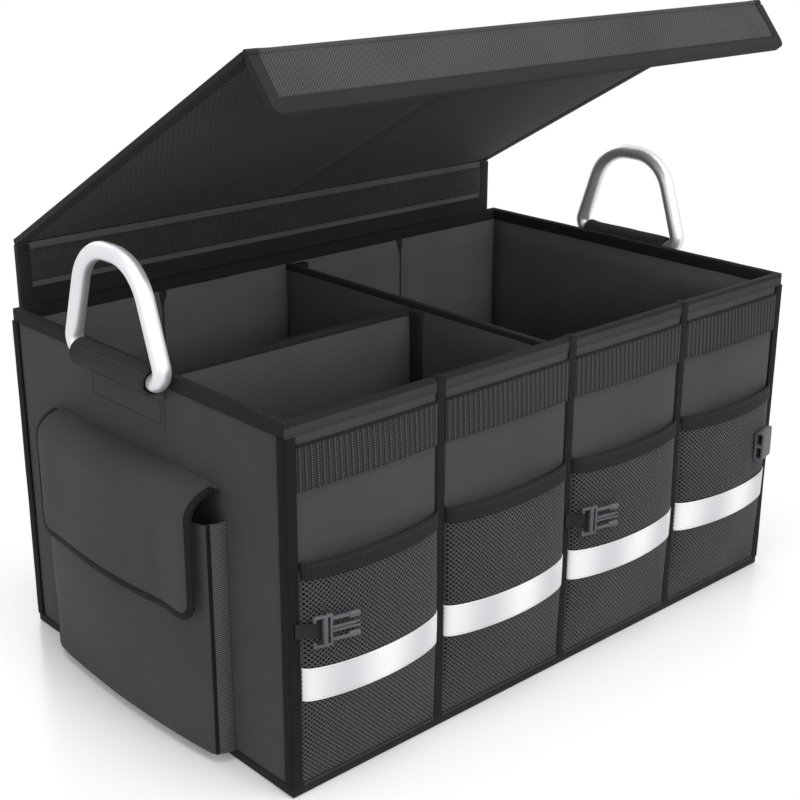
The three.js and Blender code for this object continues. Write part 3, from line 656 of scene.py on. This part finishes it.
def hoop(halfX, halfY, profile, corner):
    # a ring of tape round the box, with its corners rounded
    bm = bmesh.new()
    rings = []
    for signX, signY in ((-1, -1), (1, -1), (1, 1), (-1, 1)):
        rings.append(ring(bm, [(signX * (halfX + out), signY * (halfY + out), z) for out, z in profile]))
    for n in range(4):
        bmesh.ops.bridge_loops(bm, edges=rings[n] + rings[(n + 1) % 4])
    faceOut(bm)
    upright = [e for e in bm.edges if len(e.link_faces) == 2 and e.calc_face_angle(0) > 1
               and abs(e.verts[0].co.x) > halfX and (e.verts[0].co - e.verts[1].co).xy.length < 1e-6]
    soften(bm, corner, 3, upright)
    for axis in (0, 1):
        long = [e for e in bm.edges if abs(e.verts[0].co[axis] - e.verts[1].co[axis]) > 200 * mm]
        bmesh.ops.subdivide_edges(bm, edges=long, cuts=60, use_grid_fill=True)
    return bm


def bindings():
    halfX, halfY, top, wall = box.values()
    out, skirt, foot = 1.2 * mm, front["skirt"], front["foot"]
    rimProfile = [
        (out, skirt), (out, top - 2 * mm), (out, top - 0.6 * mm), (out * 0.3, top + out),
        (-wall - out * 0.3, top + out), (-wall - out, top),
        (-wall - out, skirt), (-wall, skirt), (-wall, top), (0, top), (0, skirt)]
    rim = hoop(halfX, halfY, rimProfile, 2.2 * mm)
    for v in rim.verts:
        v.co.z += 0.3 * mm * noise.noise(v.co * 26)
    made = piece(rim, "rim_tape", "tape", nodes=["rim_binding"], angle=60)
    paint(made, "rimFront", lambda face: face.normal.y < -0.7 and face.center.y < -halfY
          and face.center.z < top - 3 * mm)
    footProfile = [(out * 0.4, 0), (out, 0.8 * mm), (out, foot), (0, foot), (0, 0)]
    bottom = hoop(halfX, halfY, footProfile, 1.0 * mm)
    piece(bottom, "foot_tape", "tape", nodes=["bottom_binding"], angle=60)
    row = skirt + 2 * mm
    sew("box", "thread", [(-halfX, -halfY - out, row), (halfX, -halfY - out, row)])
    sew("box", "thread", [(-halfX - out, halfY, row), (-halfX - out, -halfY, row)], (-1, 0, 0))
    for place in ("front_left", "front_right", "rear_left", "rear_right"):
        node = f"corner_binding_{place}"
        bm = fromNode(node)
        tall = [e for e in bm.edges if abs(e.verts[0].co.z - e.verts[1].co.z) > 200 * mm]
        bmesh.ops.subdivide_edges(bm, edges=tall, cuts=30, use_grid_fill=True)
        for v in bm.verts:
            spot = v.co * 30
            v.co += Vector((noise.noise(spot), noise.noise(spot + Vector((5, 5, 5))), 0)) * 0.25 * mm
        piece(bm, f"corner_tape_{place}", "uprightTape", nodes=[node], angle=50)


walls()
bindings()
print("walls ready")


# dividers
def dividers():
    look = inMm(thick=5, swell=4, bindingDeep=5, bindingOut=1.2)
    for axis, name in enumerate(("cross", "long")):
        node = f"{name}_divider"
        low, high = (corner.copy() for corner in nodeBox[node])
        low[axis], high[axis] = -look["thick"] / 2, look["thick"] / 2
        bm = slab(low, high, [0 if i == axis else int((high[i] - low[i]) / (7 * mm)) for i in range(3)])
        pad(bm, low, high, axis, (look["swell"], look["swell"]), 20 * mm)
        board = piece(bm, f"{name}_divider_panel", "divider", "box", [node])
        out = Vector((0, 0, 0))
        out[axis] = look["bindingOut"]
        edge = slab((low - out).to_tuple()[:2] + (high.z - look["bindingDeep"],),
                    (high + out).to_tuple()[:2] + (high.z + look["bindingOut"],),
                    [0 if i == axis or i == 2 else 30 for i in range(3)])
        soften(edge, 1.2 * mm, 3)
        piece(edge, f"{name}_divider_tape", "lidTape")
    flange = inMm(thick=2.4, overSwell=6.4, foot=8)
    foot, over = flange["foot"], flange["overSwell"]
    near, far = nodeBox["cross_divider"]
    left, right = nodeBox["long_divider"]
    strips = {
        "cross_flange_rear": ((0, far.y - over, foot), far),
        "cross_flange_front": ((0, near.y, foot), (far.x, near.y + flange["thick"], far.z)),
        "long_flange_right": ((right.x - over, left.y, foot), (right.x, 0, right.z)),
        "long_flange_left": ((left.x, left.y, foot), (left.x + over, 0, right.z)),
    }
    for name, (low, high) in strips.items():
        bm = slab(low, high, (2, 2, 30))
        soften(bm, 0.9 * mm)
        finish = "lidTape" if name == "long_flange_right" else "lining"
        piece(bm, name, finish)
    # a small tab holds the cross divider to the rear wall
    tab = slab((-1 * mm, far.y - 9 * mm, far.z - 5 * mm), (19 * mm, far.y - 1 * mm, far.z), (6, 0, 0))
    soften(tab, 0.8 * mm)
    piece(tab, "cross_divider_tab", "tape")


dividers()
print("dividers ready")


# side pocket and its flap
side = {"wall": -box["halfX"], "tuck": 0.15,
        **inMm(low=-114, high=124, foot=8.3, mouth=207, deep=16, footBelly=8, belly=16, thick=1.8, round=5,
               gusset=2)}


def sideOut(y, z):
    across = min(max((y - side["low"]) / (side["high"] - side["low"]), 0.0), 1.0)
    up = (z - side["foot"]) / (side["mouth"] - side["foot"])
    rise = smoothStep(2 * up) - side["tuck"] * smoothStep(2 * up - 1)
    belly = side["footBelly"] + (side["belly"] - side["footBelly"]) * rise
    return side["deep"] + math.sin(math.pi * across) ** 0.7 * belly


def sidePocket():
    bm = slab((-side["thick"], side["low"], side["foot"]), (0, side["high"], side["mouth"]), (0, 60, 44))
    soften(bm, 0.7 * mm)
    for v in bm.verts:
        edge = min(v.co.y - side["low"], side["high"] - v.co.y)
        fold = max(0.0, 1 - edge / side["round"])
        tuckIn = 1.6 * mm * (1 - math.sqrt(max(0.0, 1 - fold * fold)))
        crease = 0.7 * mm * noise.noise(Vector((0, v.co.y * 14, v.co.z * 9)))
        v.co.x += side["wall"] - sideOut(v.co.y, v.co.z) + tuckIn - crease * edgeRise(edge, 20 * mm)
    piece(bm, "side_pocket_panel", "shell", "box", ["side_pocket"])
    floor = bmesh.new()
    low, high = side["low"] + 1 * mm, side["high"] - 1 * mm
    edge = [(side["wall"] - sideOut(y, side["foot"]) + 0.4 * mm, y) for y in spread(low, high, 30)]
    edge += [(side["wall"] - 0.5 * mm, high), (side["wall"] - 0.5 * mm, low)]
    face = floor.faces.new([floor.verts.new((x, y, side["foot"])) for x, y in edge])
    made = bmesh.ops.extrude_face_region(floor, geom=[face])["geom"]
    raised = [g for g in made if isinstance(g, bmesh.types.BMVert)]
    bmesh.ops.translate(floor, vec=(0, 0, 2 * mm), verts=raised)
    faceOut(floor)
    piece(floor, "side_pocket_floor", "shell", "box")
    foot, mouth, outer = side["foot"], side["mouth"], side["wall"] - side["deep"]
    for name, y, sign in (("front", side["low"], 1), ("rear", side["high"] - side["gusset"], -1)):
        gusset = slab((outer, y, foot), (side["wall"], y + side["gusset"], mouth), (8, 0, 40))
        for v in gusset.verts:
            across = (v.co.x - outer) / side["deep"]
            v.co.y -= sign * (4 * mm * across + 1.6 * mm * math.sin(math.pi * across))
        piece(gusset, f"gusset_{name}", "gusset", "box", [f"side_gusset_{name}"])
        hemY = y if sign > 0 else y + side["gusset"]
        hemFront, hemRear = sorted((hemY - sign * 1.2 * mm, hemY + sign * 1.6 * mm))
        tape = slab((outer - 1.2 * mm, hemFront, foot), (outer + 1.8 * mm, hemRear, mouth), (3, 2, 30))
        soften(tape, 0.6 * mm)
        piece(tape, f"gusset_tape_{name}", "uprightTape")
        for x, out in ((outer + 0.4 * mm, 1.3 * mm), (side["wall"] - 2 * mm, 4.2 * mm)):
            row = hemY - sign * out
            sew("box", "thread", [(x, row, foot + 2 * mm), (x, row, mouth - 2 * mm)], (0, -sign, 0))


flap = inMm(low=-111, high=121, seam=232.8, root=0.4, turnFoot=213, hem=128, corner=16, clear=0.8,
            thick=1.6, turn=40, binding=5, bindingThick=2.6, tapeFrom=5, frontLift=8.5, rearLift=4,
            liftRun=50)
flap["length"] = flap["turn"] + flap["turnFoot"] - flap["hem"]


def flapLine(y, along):
    # distance out from the wall and height, at a distance along the cloth from its seam
    lift = flap["frontLift"] * (1 - smoothStep((y - flap["low"]) / flap["liftRun"]))
    lift += flap["rearLift"] * (1 - smoothStep((flap["high"] - y) / flap["liftRun"]))

    def reach(z):
        return sideOut(y, min(z, side["mouth"])) + side["thick"] + flap["clear"] + flap["thick"] / 2 + lift
    if along <= flap["turn"]:
        turn = along / flap["turn"] * math.pi / 2
        far = reach(side["mouth"])
        return (flap["root"] + (far - flap["root"]) * math.sin(turn),
                flap["turnFoot"] + (flap["seam"] - flap["turnFoot"]) * math.cos(turn))
    z = flap["turnFoot"] - (along - flap["turn"])
    return reach(z), z


def onFlap(y, along, outside):
    # a place at a distance along the cloth from its seam, and out from its middle
    here, ahead = Vector(flapLine(y, along)), Vector(flapLine(y, along + 0.5 * mm))
    way = (ahead - here).normalized()
    return Vector((side["wall"] - here.x + way.y * outside, y, here.y + way.x * outside))


def wrapFlap(bm):
    # flat pieces lie with their length in z, from 0 at the seam downwards, and their outside towards -x
    layCloth(bm)
    for v in bm.verts:
        v.co = onFlap(v.co.y, -v.co.z, -v.co.x)
    return bm


def sideFlap():
    half = flap["thick"] / 2
    bm = slab((-half, flap["low"], -flap["length"]), (half, flap["high"], 0), (0, 60, 44))
    for v in bm.verts:
        # the lower corners are rounded by drawing the lowest rows up
        edge = min(v.co.y - flap["low"], flap["high"] - v.co.y)
        inCorner = max(0.0, flap["corner"] - edge) / flap["corner"]
        lift = flap["corner"] * (1 - math.sqrt(max(0.0, 1 - inCorner * inCorner)))
        v.co.z *= (flap["length"] - lift) / flap["length"]
        v.co.x -= 0.5 * mm * noise.noise(Vector((3, v.co.y * 16, v.co.z * 12))) * edgeRise(edge, 15 * mm)
    body = piece(wrapFlap(bm), "side_flap_cloth", "shell", "side_flap", ["side_pocket_flap"])

    # the binding: down one side, round the corners and up the other
    wide, deep, bend = flap["binding"], flap["bindingThick"] / 2, flap["corner"]
    straight = flap["length"] - bend - flap["tapeFrom"]
    tape = bmesh.new()
    section = [(-deep, 0), (-deep * 0.6, -0.7 * mm), (deep * 0.6, -0.7 * mm),
               (deep, 0), (deep, wide), (-deep, wide)]
    edges = ring(tape, [(x, flap["low"] + y, -flap["tapeFrom"]) for x, y in section])
    bmesh.ops.contextual_create(tape, geom=edges)
    for kind, value in (("go", (0, 0, -straight)), ("turn", flap["low"] + bend),
                        ("go", (0, flap["high"] - flap["low"] - 2 * bend, 0)), ("turn", flap["high"] - bend),
                        ("go", (0, 0, straight))):
        if kind == "go":
            edges = runAlong(tape, edges, value, 24)
        else:
            edges = turnAlong(tape, edges, (0, value, bend - flap["length"]), math.pi / 2, 8)
    bmesh.ops.contextual_create(tape, geom=edges)
    faceOut(tape)
    binding = piece(wrapFlap(tape), "side_flap_tape", "seamTape", "side_flap", angle=50)
    sewFlap()
    return body, binding


def sewFlap():
    # a row of stitches just inside the binding
    inset, corner = 4 * mm, flap["corner"]
    low, high, foot, bend = flap["low"] + inset, flap["high"] - inset, flap["length"] - inset, corner - inset
    turns = [(1 - math.cos(a), 1 - math.sin(a)) for a in spread(0, math.pi / 2, 6)]
    row = [(low, along) for along in spread(6 * mm, flap["length"] - corner, 30)]
    row += [(low + bend * across, foot - bend * up) for across, up in turns]
    row += [(y, foot) for y in spread(flap["low"] + corner, flap["high"] - corner, 30)]
    row += [(high - bend * up, foot - bend * across) for across, up in turns]
    row += [(high, along) for along in spread(flap["length"] - corner, 6 * mm, 30)]
    outside = flap["bindingThick"] / 2
    sew("side_flap", "thread", [onFlap(y, along, outside) for y, along in row], (-1, 0, 0))


sidePocket()
flapCloth, flapTape = sideFlap()
print("side pocket ready")


# handles and sleeves
handle = inMm(out=311.7, y=5, z=301, radius=7.3, foot=67, shoulder=36, rise=91, footBend=16,
              shoulderBend=30)


def handleTube(sign, body, name):
    # drawn along the loop: half the foot, a bend, a leg, a shoulder and the top, then back down
    bm = bmesh.new()
    leg = Vector((handle["shoulder"] - handle["foot"], handle["rise"]))
    footTurn = math.atan2(leg.y, leg.x)
    shoulderTurn = math.pi - footTurn
    legRun = leg.length - handle["footBend"] - handle["shoulderBend"]
    footRun = handle["foot"] - handle["footBend"]
    topRun = 2 * (handle["shoulder"] - handle["shoulderBend"])
    # a run, and the turn after it with the length of its tangent
    footBend, shoulderBend = (footTurn, handle["footBend"]), (shoulderTurn, handle["shoulderBend"])
    moves = [(footRun, footBend), (legRun, shoulderBend), (topRun, shoulderBend), (legRun, footBend),
             (footRun, None)]
    place = Vector((sign * handle["out"], handle["y"], handle["z"]))
    heading = 0.0
    bmesh.ops.create_circle(bm, cap_ends=False, segments=28, radius=handle["radius"],
                            matrix=Matrix.Translation(place) @ Matrix.Rotation(math.pi / 2, 4, "X"))
    edges = bm.edges[:]
    for run, bend in moves:
        way = Vector((0, math.cos(heading), math.sin(heading)))
        edges = runAlong(bm, edges, way * run, 4)
        place += way * run
        if bend:
            turn, tangent = bend
            centre = place + Vector((0, -way.z, way.y)) * tangent / math.tan(turn / 2)
            edges = turnAlong(bm, edges, centre, turn, 12)
            place = centre + Matrix.Rotation(turn, 3, "X") @ (place - centre)
            heading += turn
    bmesh.ops.remove_doubles(bm, verts=bm.verts, dist=0.05 * mm)
    faceOut(bm)
    piece(bm, name, "aluminium", body, [name.replace("_tube", "")], angle=60)


def handleSleeve(sign, name):
    sleeve = inMm(outer=11, bore=8.7, front=-45, rear=57, flare=1.6)
    x, z = sign * handle["out"], handle["z"]
    bm = bmesh.new()
    turned = Matrix.Translation((x, sleeve["front"], z)) @ Matrix.Rotation(math.pi / 2, 4, "X")
    loops = []
    for radius in (sleeve["outer"], sleeve["bore"]):
        before = set(bm.edges)
        bmesh.ops.create_circle(bm, cap_ends=False, segments=32, radius=radius, matrix=turned)
        start = [e for e in bm.edges if e not in before]
        loops.append((start, runAlong(bm, start, (0, sleeve["rear"] - sleeve["front"], 0), 44)))
    for n in (0, 1):
        bmesh.ops.bridge_loops(bm, edges=loops[0][n] + loops[1][n])
    for v in bm.verts:
        centre = Vector((x, v.co.y, z))
        away = v.co - centre
        nearRear = max(0.0, 1 - (sleeve["rear"] - v.co.y) / (12 * mm))
        grown = sleeve["flare"] * nearRear * nearRear
        if away.length > sleeve["outer"] - 0.5 * mm:
            fromEnd = edgeRise(min(v.co.y - sleeve["front"], sleeve["rear"] - v.co.y), 5 * mm)
            grown += 0.4 * mm * noise.noise(v.co * Vector((50, 60, 50))) - 0.5 * mm * (1 - fromEnd)
        v.co = centre + away.normalized() * (away.length + grown)
    faceOut(bm)
    piece(bm, f"sleeve_roll_{name}", "sleeve", "box", [f"handle_sleeve_{name}"])

    # the tail lies flat on the wall, swells out to the roll at its top and sags at its rear end
    tail = inMm(low=258, high=292.5, front=-44, rear=66, thick=1.6, swell=7, swellFrom=284, sag=8,
                sagFrom=280)
    bm = slab((0, tail["front"], tail["low"]), (tail["thick"], tail["rear"], tail["high"]), (0, 40, 26))
    soften(bm, 0.5 * mm)
    for v in bm.verts:
        swell = smoothStep((v.co.z - tail["swellFrom"]) / (tail["high"] - tail["swellFrom"]))
        v.co.x += tail["swell"] * swell * (v.co.x / tail["thick"])
        over = max(0.0, v.co.y - sleeve["rear"]) / (tail["rear"] - sleeve["rear"])
        v.co.z -= tail["sag"] * over * max(0.0, (v.co.z - tail["sagFrom"]) / (tail["high"] - tail["sagFrom"]))
        v.co.x = sign * (box["halfX"] + v.co.x)
    if sign < 0:
        bmesh.ops.reverse_faces(bm, faces=bm.faces)
    piece(bm, f"sleeve_tail_{name}", "shell", "box")
    out = sign * (box["halfX"] + tail["thick"] + 0.1 * mm)
    corners = [(out, y * mm, z * mm) for y, z in ((-37, 281), (-37, 262), (62, 262), (62, 281), (-37, 281))]
    sew("box", "thread", corners, (sign, 0, 0), pitch=2.8 * mm, thick=0.7 * mm)
    for z in spread(tail["low"], 286 * mm, 16):
        tack = [(out, -43 * mm, z), (out, -39.4 * mm, z)]
        sew("box", "thread", tack, (sign, 0, 0), pitch=3.6 * mm, length=3 * mm)


for sign, name in ((-1, "left"), (1, "right")):
    handleTube(sign, f"{name}_handle", f"handle_{name}_tube")
    handleSleeve(sign, name)
print("handles ready")


# lid
lid = {"open": 29.2, "frontBend": 80.5,
       **inMm(foldY=194.3, foldZ=362, panel=389, half=291, thick=3.4, tape=1, roll=2.7, inset=1.4)}
rearFoldPlace = Matrix.Translation((0, lid["foldY"], lid["foldZ"]))
hangingPlace = rearFoldPlace @ Matrix.Rotation(math.pi / 2, 4, "X")
panelPlace = rearFoldPlace @ Matrix.Rotation(-math.radians(lid["open"]), 4, "X")
frontFoldPlace = panelPlace @ Matrix.Translation((0, -lid["panel"], 0))
flapPlace = frontFoldPlace @ Matrix.Rotation(math.radians(lid["frontBend"]), 4, "X")


def lidBoard(name, node, body, place, finishPair, far, rises, corner=0.0, crease=False):
    # finishPair: the cloths of the lower face and of the upper face, in the board's own place
    low = Vector((-lid["half"] + lid["inset"], -far + lid["inset"], -lid["thick"] / 2))
    high = Vector((lid["half"] - lid["inset"], -2 * mm, lid["thick"] / 2))
    bm = slab(low, high, (96, max(8, int(far / (6 * mm))), 0))
    pad(bm, low, high, 2, rises, 26 * mm, (0,) if crease else ())
    for v in bm.verts:
        if crease:
            v.co.z *= 1 - 0.35 * max(0.0, 1 - abs(v.co.x) / (7 * mm))
        past = Vector((abs(v.co.x) - high.x + corner, low.y + corner - v.co.y))
        if corner and min(past) > 0 and past.length > corner:
            shift = past * (corner / past.length - 1)
            v.co.x += shift.x if v.co.x > 0 else -shift.x
            v.co.y -= shift.y
    bm.normal_update()
    for face in bm.faces:
        face.material_index = 1 if face.normal.z > 0.3 else 0
    made = piece(bm, name, finishPair[0], body, [node], placed=place)
    made.data.materials.append(finishes[finishPair[1]])


def lidTapePiece(name, node, body, place):
    bm = soften(fromNode(node, place), 0.35 * mm)
    piece(bm, name, "lidTape", body, nodes=[node], placed=place, angle=50)


def foldPiece(name, node, body, place, finish):
    # the cloth turns over the fold line, and the side bindings turn with it
    bm = bmesh.new()
    end = Matrix.Translation((-lid["half"] + 0.5 * mm, 0, 0)) @ Matrix.Rotation(math.pi / 2, 4, "Y")
    bmesh.ops.create_circle(bm, cap_ends=True, segments=20, radius=lid["roll"], matrix=end)
    last = runAlong(bm, bm.edges[:], (2 * lid["half"] - 1 * mm, 0, 0), 60)
    bmesh.ops.contextual_create(bm, geom=last)
    faceOut(bm)
    bound = lid["half"] - 11 * mm
    for v in bm.verts:
        if abs(v.co.x) > bound:
            v.co.yz *= 1.15
    for face in bm.faces:
        face.material_index = 1 if abs(face.calc_center_median().x) > bound else 0
    made = piece(bm, name, finish, body, nodes=[node], placed=place)
    made.data.materials.append(finishes["lidTape"])


def makeLid():
    lidBoard("lid_rear_cloth", "lid_rear_flap", "lid_rear", hangingPlace, ("lidFront", "lidRear"), 74 * mm,
             (0, 0), 10 * mm)
    lidBoard("lid_panel_cloth", "lid_panel", "lid_cover", panelPlace, ("lid", "lidFront"),
             lid["panel"] - 3 * mm, (0.9 * mm, 2 * mm), crease=True)
    lidBoard("lid_front_cloth", "lid_front_flap", "lid_front", flapPlace, ("lid", "lidFront"), 48 * mm,
             (0.8 * mm, 1.4 * mm), 12 * mm)
    lidTapePiece("lid_rear_tape", "lid_rear_flap_binding", "lid_rear", hangingPlace)
    lidTapePiece("lid_left_tape", "lid_side_binding_left", "lid_cover", panelPlace)
    lidTapePiece("lid_right_tape", "lid_side_binding_right", "lid_cover", panelPlace)
    lidTapePiece("lid_front_tape", "lid_front_flap_binding", "lid_front", flapPlace)
    foldPiece("lid_rear_fold_cloth", "lid_rear_fold", "lid_rear", rearFoldPlace, "lid")
    foldPiece("lid_front_fold_cloth", "lid_front_fold", "lid_front", flapPlace, "lidFront")
    hooks = soften(fromNode("lid_hook_strip", hangingPlace), 0.25 * mm)
    piece(hooks, "hook_strip", "hook", "lid_rear", ["lid_hook_strip"], placed=hangingPlace)
    loops = soften(fromNode("lid_loop_strip"), 0.3 * mm)
    piece(loops, "loop_strip", "hook", "box", ["lid_loop_strip"])

    # stitches: along the hook strip, round the front flap and down both sides of the panel
    strip = {"half": 279 * mm, "high": 352.8 * mm, "low": 326.2 * mm, "y": lid["foldY"] - 2.7 * mm}
    for z in (strip["low"], strip["high"]):
        sew("lid_rear", "thread", [(-strip["half"], strip["y"], z), (strip["half"], strip["y"], z)])
    flapX, flapFoot, panelX = lid["half"] - 7.5 * mm, -37.5 * mm, lid["half"] - 10.5 * mm
    flapRow = [(-flapX, -3 * mm), (-flapX, flapFoot), (flapX, flapFoot), (flapX, -3 * mm)]
    rows = [(flapPlace, "lid_front", flapRow, (1,))]
    for x in (-panelX, panelX):
        rows.append((panelPlace, "lid_cover", [(x, -6 * mm), (x, 6 * mm - lid["panel"])], (-1, 1)))
    out = lid["thick"] / 2 + lid["tape"]
    for place, body, row, sides in rows:
        for face in sides:
            line = [place @ Vector((x, y, face * out)) for x, y in row]
            sew(body, "thread", line, place.to_3x3() @ Vector((0, 0, face)))


makeLid()
print("lid ready")


# buckles
buckle = {"tilt": math.radians(13),
          **inMm(inset=11, standOff=12.8, strapRoot=-18.4, strapLow=-5.6, strapHigh=-0.9, strapHalf=6)}


def bucklePlace(x, z, sideWay):
    # turns (along the strap, up, outwards) into a place on the box
    turn = -buckle["tilt"] if sideWay > 0 else math.pi + buckle["tilt"]
    stand = Matrix(((1, 0, 0), (0, 0, -sideWay), (0, 1, 0))).to_4x4()
    middle = (x, front["plane"] - buckle["standOff"], z)
    return Matrix.Translation(middle) @ Matrix.Rotation(turn, 4, "Z") @ stand


def roundBar(bm, along, up, out, edge):
    # a bar of the buckle, in mm: along the strap, up and outwards
    low, high = (Vector(corner) * mm for corner in zip(along, up, out))
    joinInto(bm, soften(slab(low, high), edge * mm, 3))


def maleBuckle(number, x, z):
    bm = bmesh.new()
    roundBar(bm, (0, 4), (-13, 13), (0, 5), 1.2)
    roundBar(bm, (5.6, 8), (-12.4, 12.4), (0.4, 4.6), 0.9)
    for up in (-1, 1):
        roundBar(bm, (-7, 8.4), sorted((up * 10.6, up * 13)), (0.6, 4.2), 0.8)
        roundBar(bm, (-7.6, -5.2), sorted((up * 8.2, up * 13)), (0.4, 4.0), 0.8)
        roundBar(bm, (7.4, 24), sorted((up * 7.2, up * 10)), (1, 4), 0.7)
        roundBar(bm, (21, 31.4), sorted((up * 5.4, up * 10.6)), (0.6, 4.4), 1.7)
        roundBar(bm, (7.4, 31), sorted((up * 0.9, up * 2.5)), (1.2, 4), 0.6)
    roundBar(bm, (7.4, 28), (-1.4, 1.4), (1.8, 2.8), 0.4)
    faceOut(bm)
    piece(bm, f"male_buckle_{number}_body", "plastic", "box",
          [f"male_buckle_{number}"], angle=50, placed=bucklePlace(x, z, 1))


def buckleStrap(number, x, z, sideWay):
    # from its root on the seam, behind the first bar and up through the slot
    root, half = buckle["strapRoot"], buckle["strapHalf"]
    bm = slab((root, -half, -0.6 * mm), (5 * mm, half, 0.6 * mm), (18, 6, 0))
    soften(bm, 0.3 * mm)
    for v in bm.verts:
        rise = smoothStep((v.co.x - root) / (15 * mm))
        v.co.z += buckle["strapLow"] + (buckle["strapHigh"] - buckle["strapLow"]) * rise
    end = slab((4.6 * mm, -half, -1.4 * mm), (5.8 * mm, half, 3.4 * mm), (0, 6, 0))
    joinInto(bm, soften(end, 0.3 * mm))
    made = piece(bm, f"buckle_strap_{number}", "lidTape", "box", [f"buckle_tab_{number}"],
                 angle=45, placed=bucklePlace(x, z, sideWay))
    if sideWay < 0:
        made.data.flip_normals()


def buckles():
    # how far across, how high, and the way that the strap runs
    places = ((bays[0][0] + buckle["inset"], 143 * mm, 1), (bays[2][0] + buckle["inset"], 140 * mm, 1),
              (bays[3][1] - buckle["inset"], 146 * mm, -1))
    for number, (x, z, _) in enumerate(places[:2], 1):
        maleBuckle(number, x, z)
    female = soften(fromNode("female_buckle"), 0.8 * mm, 3)
    piece(female, "female_buckle_body", "plastic", "box", ["female_buckle"], angle=35)
    for number, place in enumerate(places, 1):
        buckleStrap(number, *place)


buckles()

for (body, thread), bm in stitchPile.items():
    piece(bm, f"stitches_{body}_{thread}", thread, body, angle=80)
print("stitches ready")


# stage
def addLamp(name, place, aim, size, power):
    data = bpy.data.lights.new(name, "AREA")
    data.shape = "RECTANGLE"
    data.size, data.size_y = size
    data.energy = power
    lamp = bpy.data.objects.new(name, data)
    lamp.location = place
    lamp.rotation_euler = (Vector(aim) - Vector(place)).to_track_quat("-Z", "Y").to_euler()
    bpy.context.collection.objects.link(lamp)


def makeFloor():
    # a pale floor that mirrors a little beside the box and fades to white further out
    bm = bmesh.new()
    bmesh.ops.create_circle(bm, cap_ends=True, segments=64, radius=6)
    bmesh.ops.translate(bm, vec=(0, 0, -0.4 * mm), verts=bm.verts)
    mesh = bpy.data.meshes.new("floor")
    bm.to_mesh(mesh)
    bm.free()
    floor = bpy.data.objects.new("floor", mesh)
    bpy.context.collection.objects.link(floor)
    finish = Finish("floor", Specular_IOR_Level=0.5)
    finish.feed(finish.shader.inputs["Base Color"], tone(244, 244, 245))
    finish.feed(finish.shader.inputs["Roughness"], 0.22)
    white = finish.node("ShaderNodeEmission", None, {"Color": (1, 1, 1, 1), "Strength": 1.0})
    place = finish.node("ShaderNodeTexCoord", output=3)
    beyond = finish.node("ShaderNodeVectorMath", {"operation": "ABSOLUTE"}, {0: place})
    boxHalf = (box["halfX"], box["halfY"], 0)
    beyond = finish.node("ShaderNodeVectorMath", {"operation": "SUBTRACT"}, {0: beyond, 1: boxHalf})
    beyond = finish.node("ShaderNodeVectorMath", {"operation": "MAXIMUM"}, {0: beyond, 1: (0, 0, 0)})
    reach = finish.node("ShaderNodeVectorMath", {"operation": "LENGTH"}, {0: beyond}, 1)
    fade = finish.node("ShaderNodeMapRange", {"interpolation_type": "SMOOTHSTEP"},
                       {"Value": reach, "From Min": 0.0, "From Max": 0.19, "To Min": 0.1, "To Max": 1.0})
    shader = Wire(finish, finish.shader.outputs[0])
    both = finish.node("ShaderNodeMixShader", None, {0: fade, 1: shader, 2: white})
    output = finish.tree.nodes["Material Output"]
    finish.tree.links.new(both.socket, output.inputs["Surface"])
    mesh.materials.append(finish.material)


def makeWorld():
    # white to the eye and in mirrors, and dimmer as a light
    world = bpy.data.worlds.new("studio")
    bpy.context.scene.world = world
    world.use_nodes = True
    nodes, links = world.node_tree.nodes, world.node_tree.links
    background = nodes["Background"]
    background.inputs["Color"].default_value = (1, 1, 1, 1)
    path = nodes.new("ShaderNodeLightPath")
    seen = path.outputs["Is Camera Ray"]
    for ray in ("Is Glossy Ray", "Is Transmission Ray"):
        either = nodes.new("ShaderNodeMath")
        either.operation = "MAXIMUM"
        links.new(seen, either.inputs[0])
        links.new(path.outputs[ray], either.inputs[1])
        seen = either.outputs[0]
    level = nodes.new("ShaderNodeMapRange")
    level.inputs["To Min"].default_value = 0.5
    level.inputs["To Max"].default_value = 1.0
    links.new(seen, level.inputs["Value"])
    links.new(level.outputs[0], background.inputs["Strength"])


def makeLamps():
    addLamp("top light", (-0.3, -0.5, 2.2), (0, 0, 0.2), (1.8, 1.2), 22)
    addLamp("front light", (0.5, -2.1, 1.9), (0.1, 0.1, 0.2), (1.8, 1.4), 24)
    addLamp("inside light", (-0.3, -1.5, 0.76), (0.16, 0.19, 0.28), (1.2, 0.3), 7.5)
    addLamp("left light", (-2.3, -0.4, 1.1), (-0.2, 0, 0.2), (1.2, 1.4), 7)
    addLamp("rear light", (0.6, 2.2, 1.5), (0, 0, 0.3), (1.6, 1.0), 12)


makeFloor()
makeWorld()
makeLamps()
bpy.context.scene.view_settings.view_transform = "Standard"
print("scene ready")
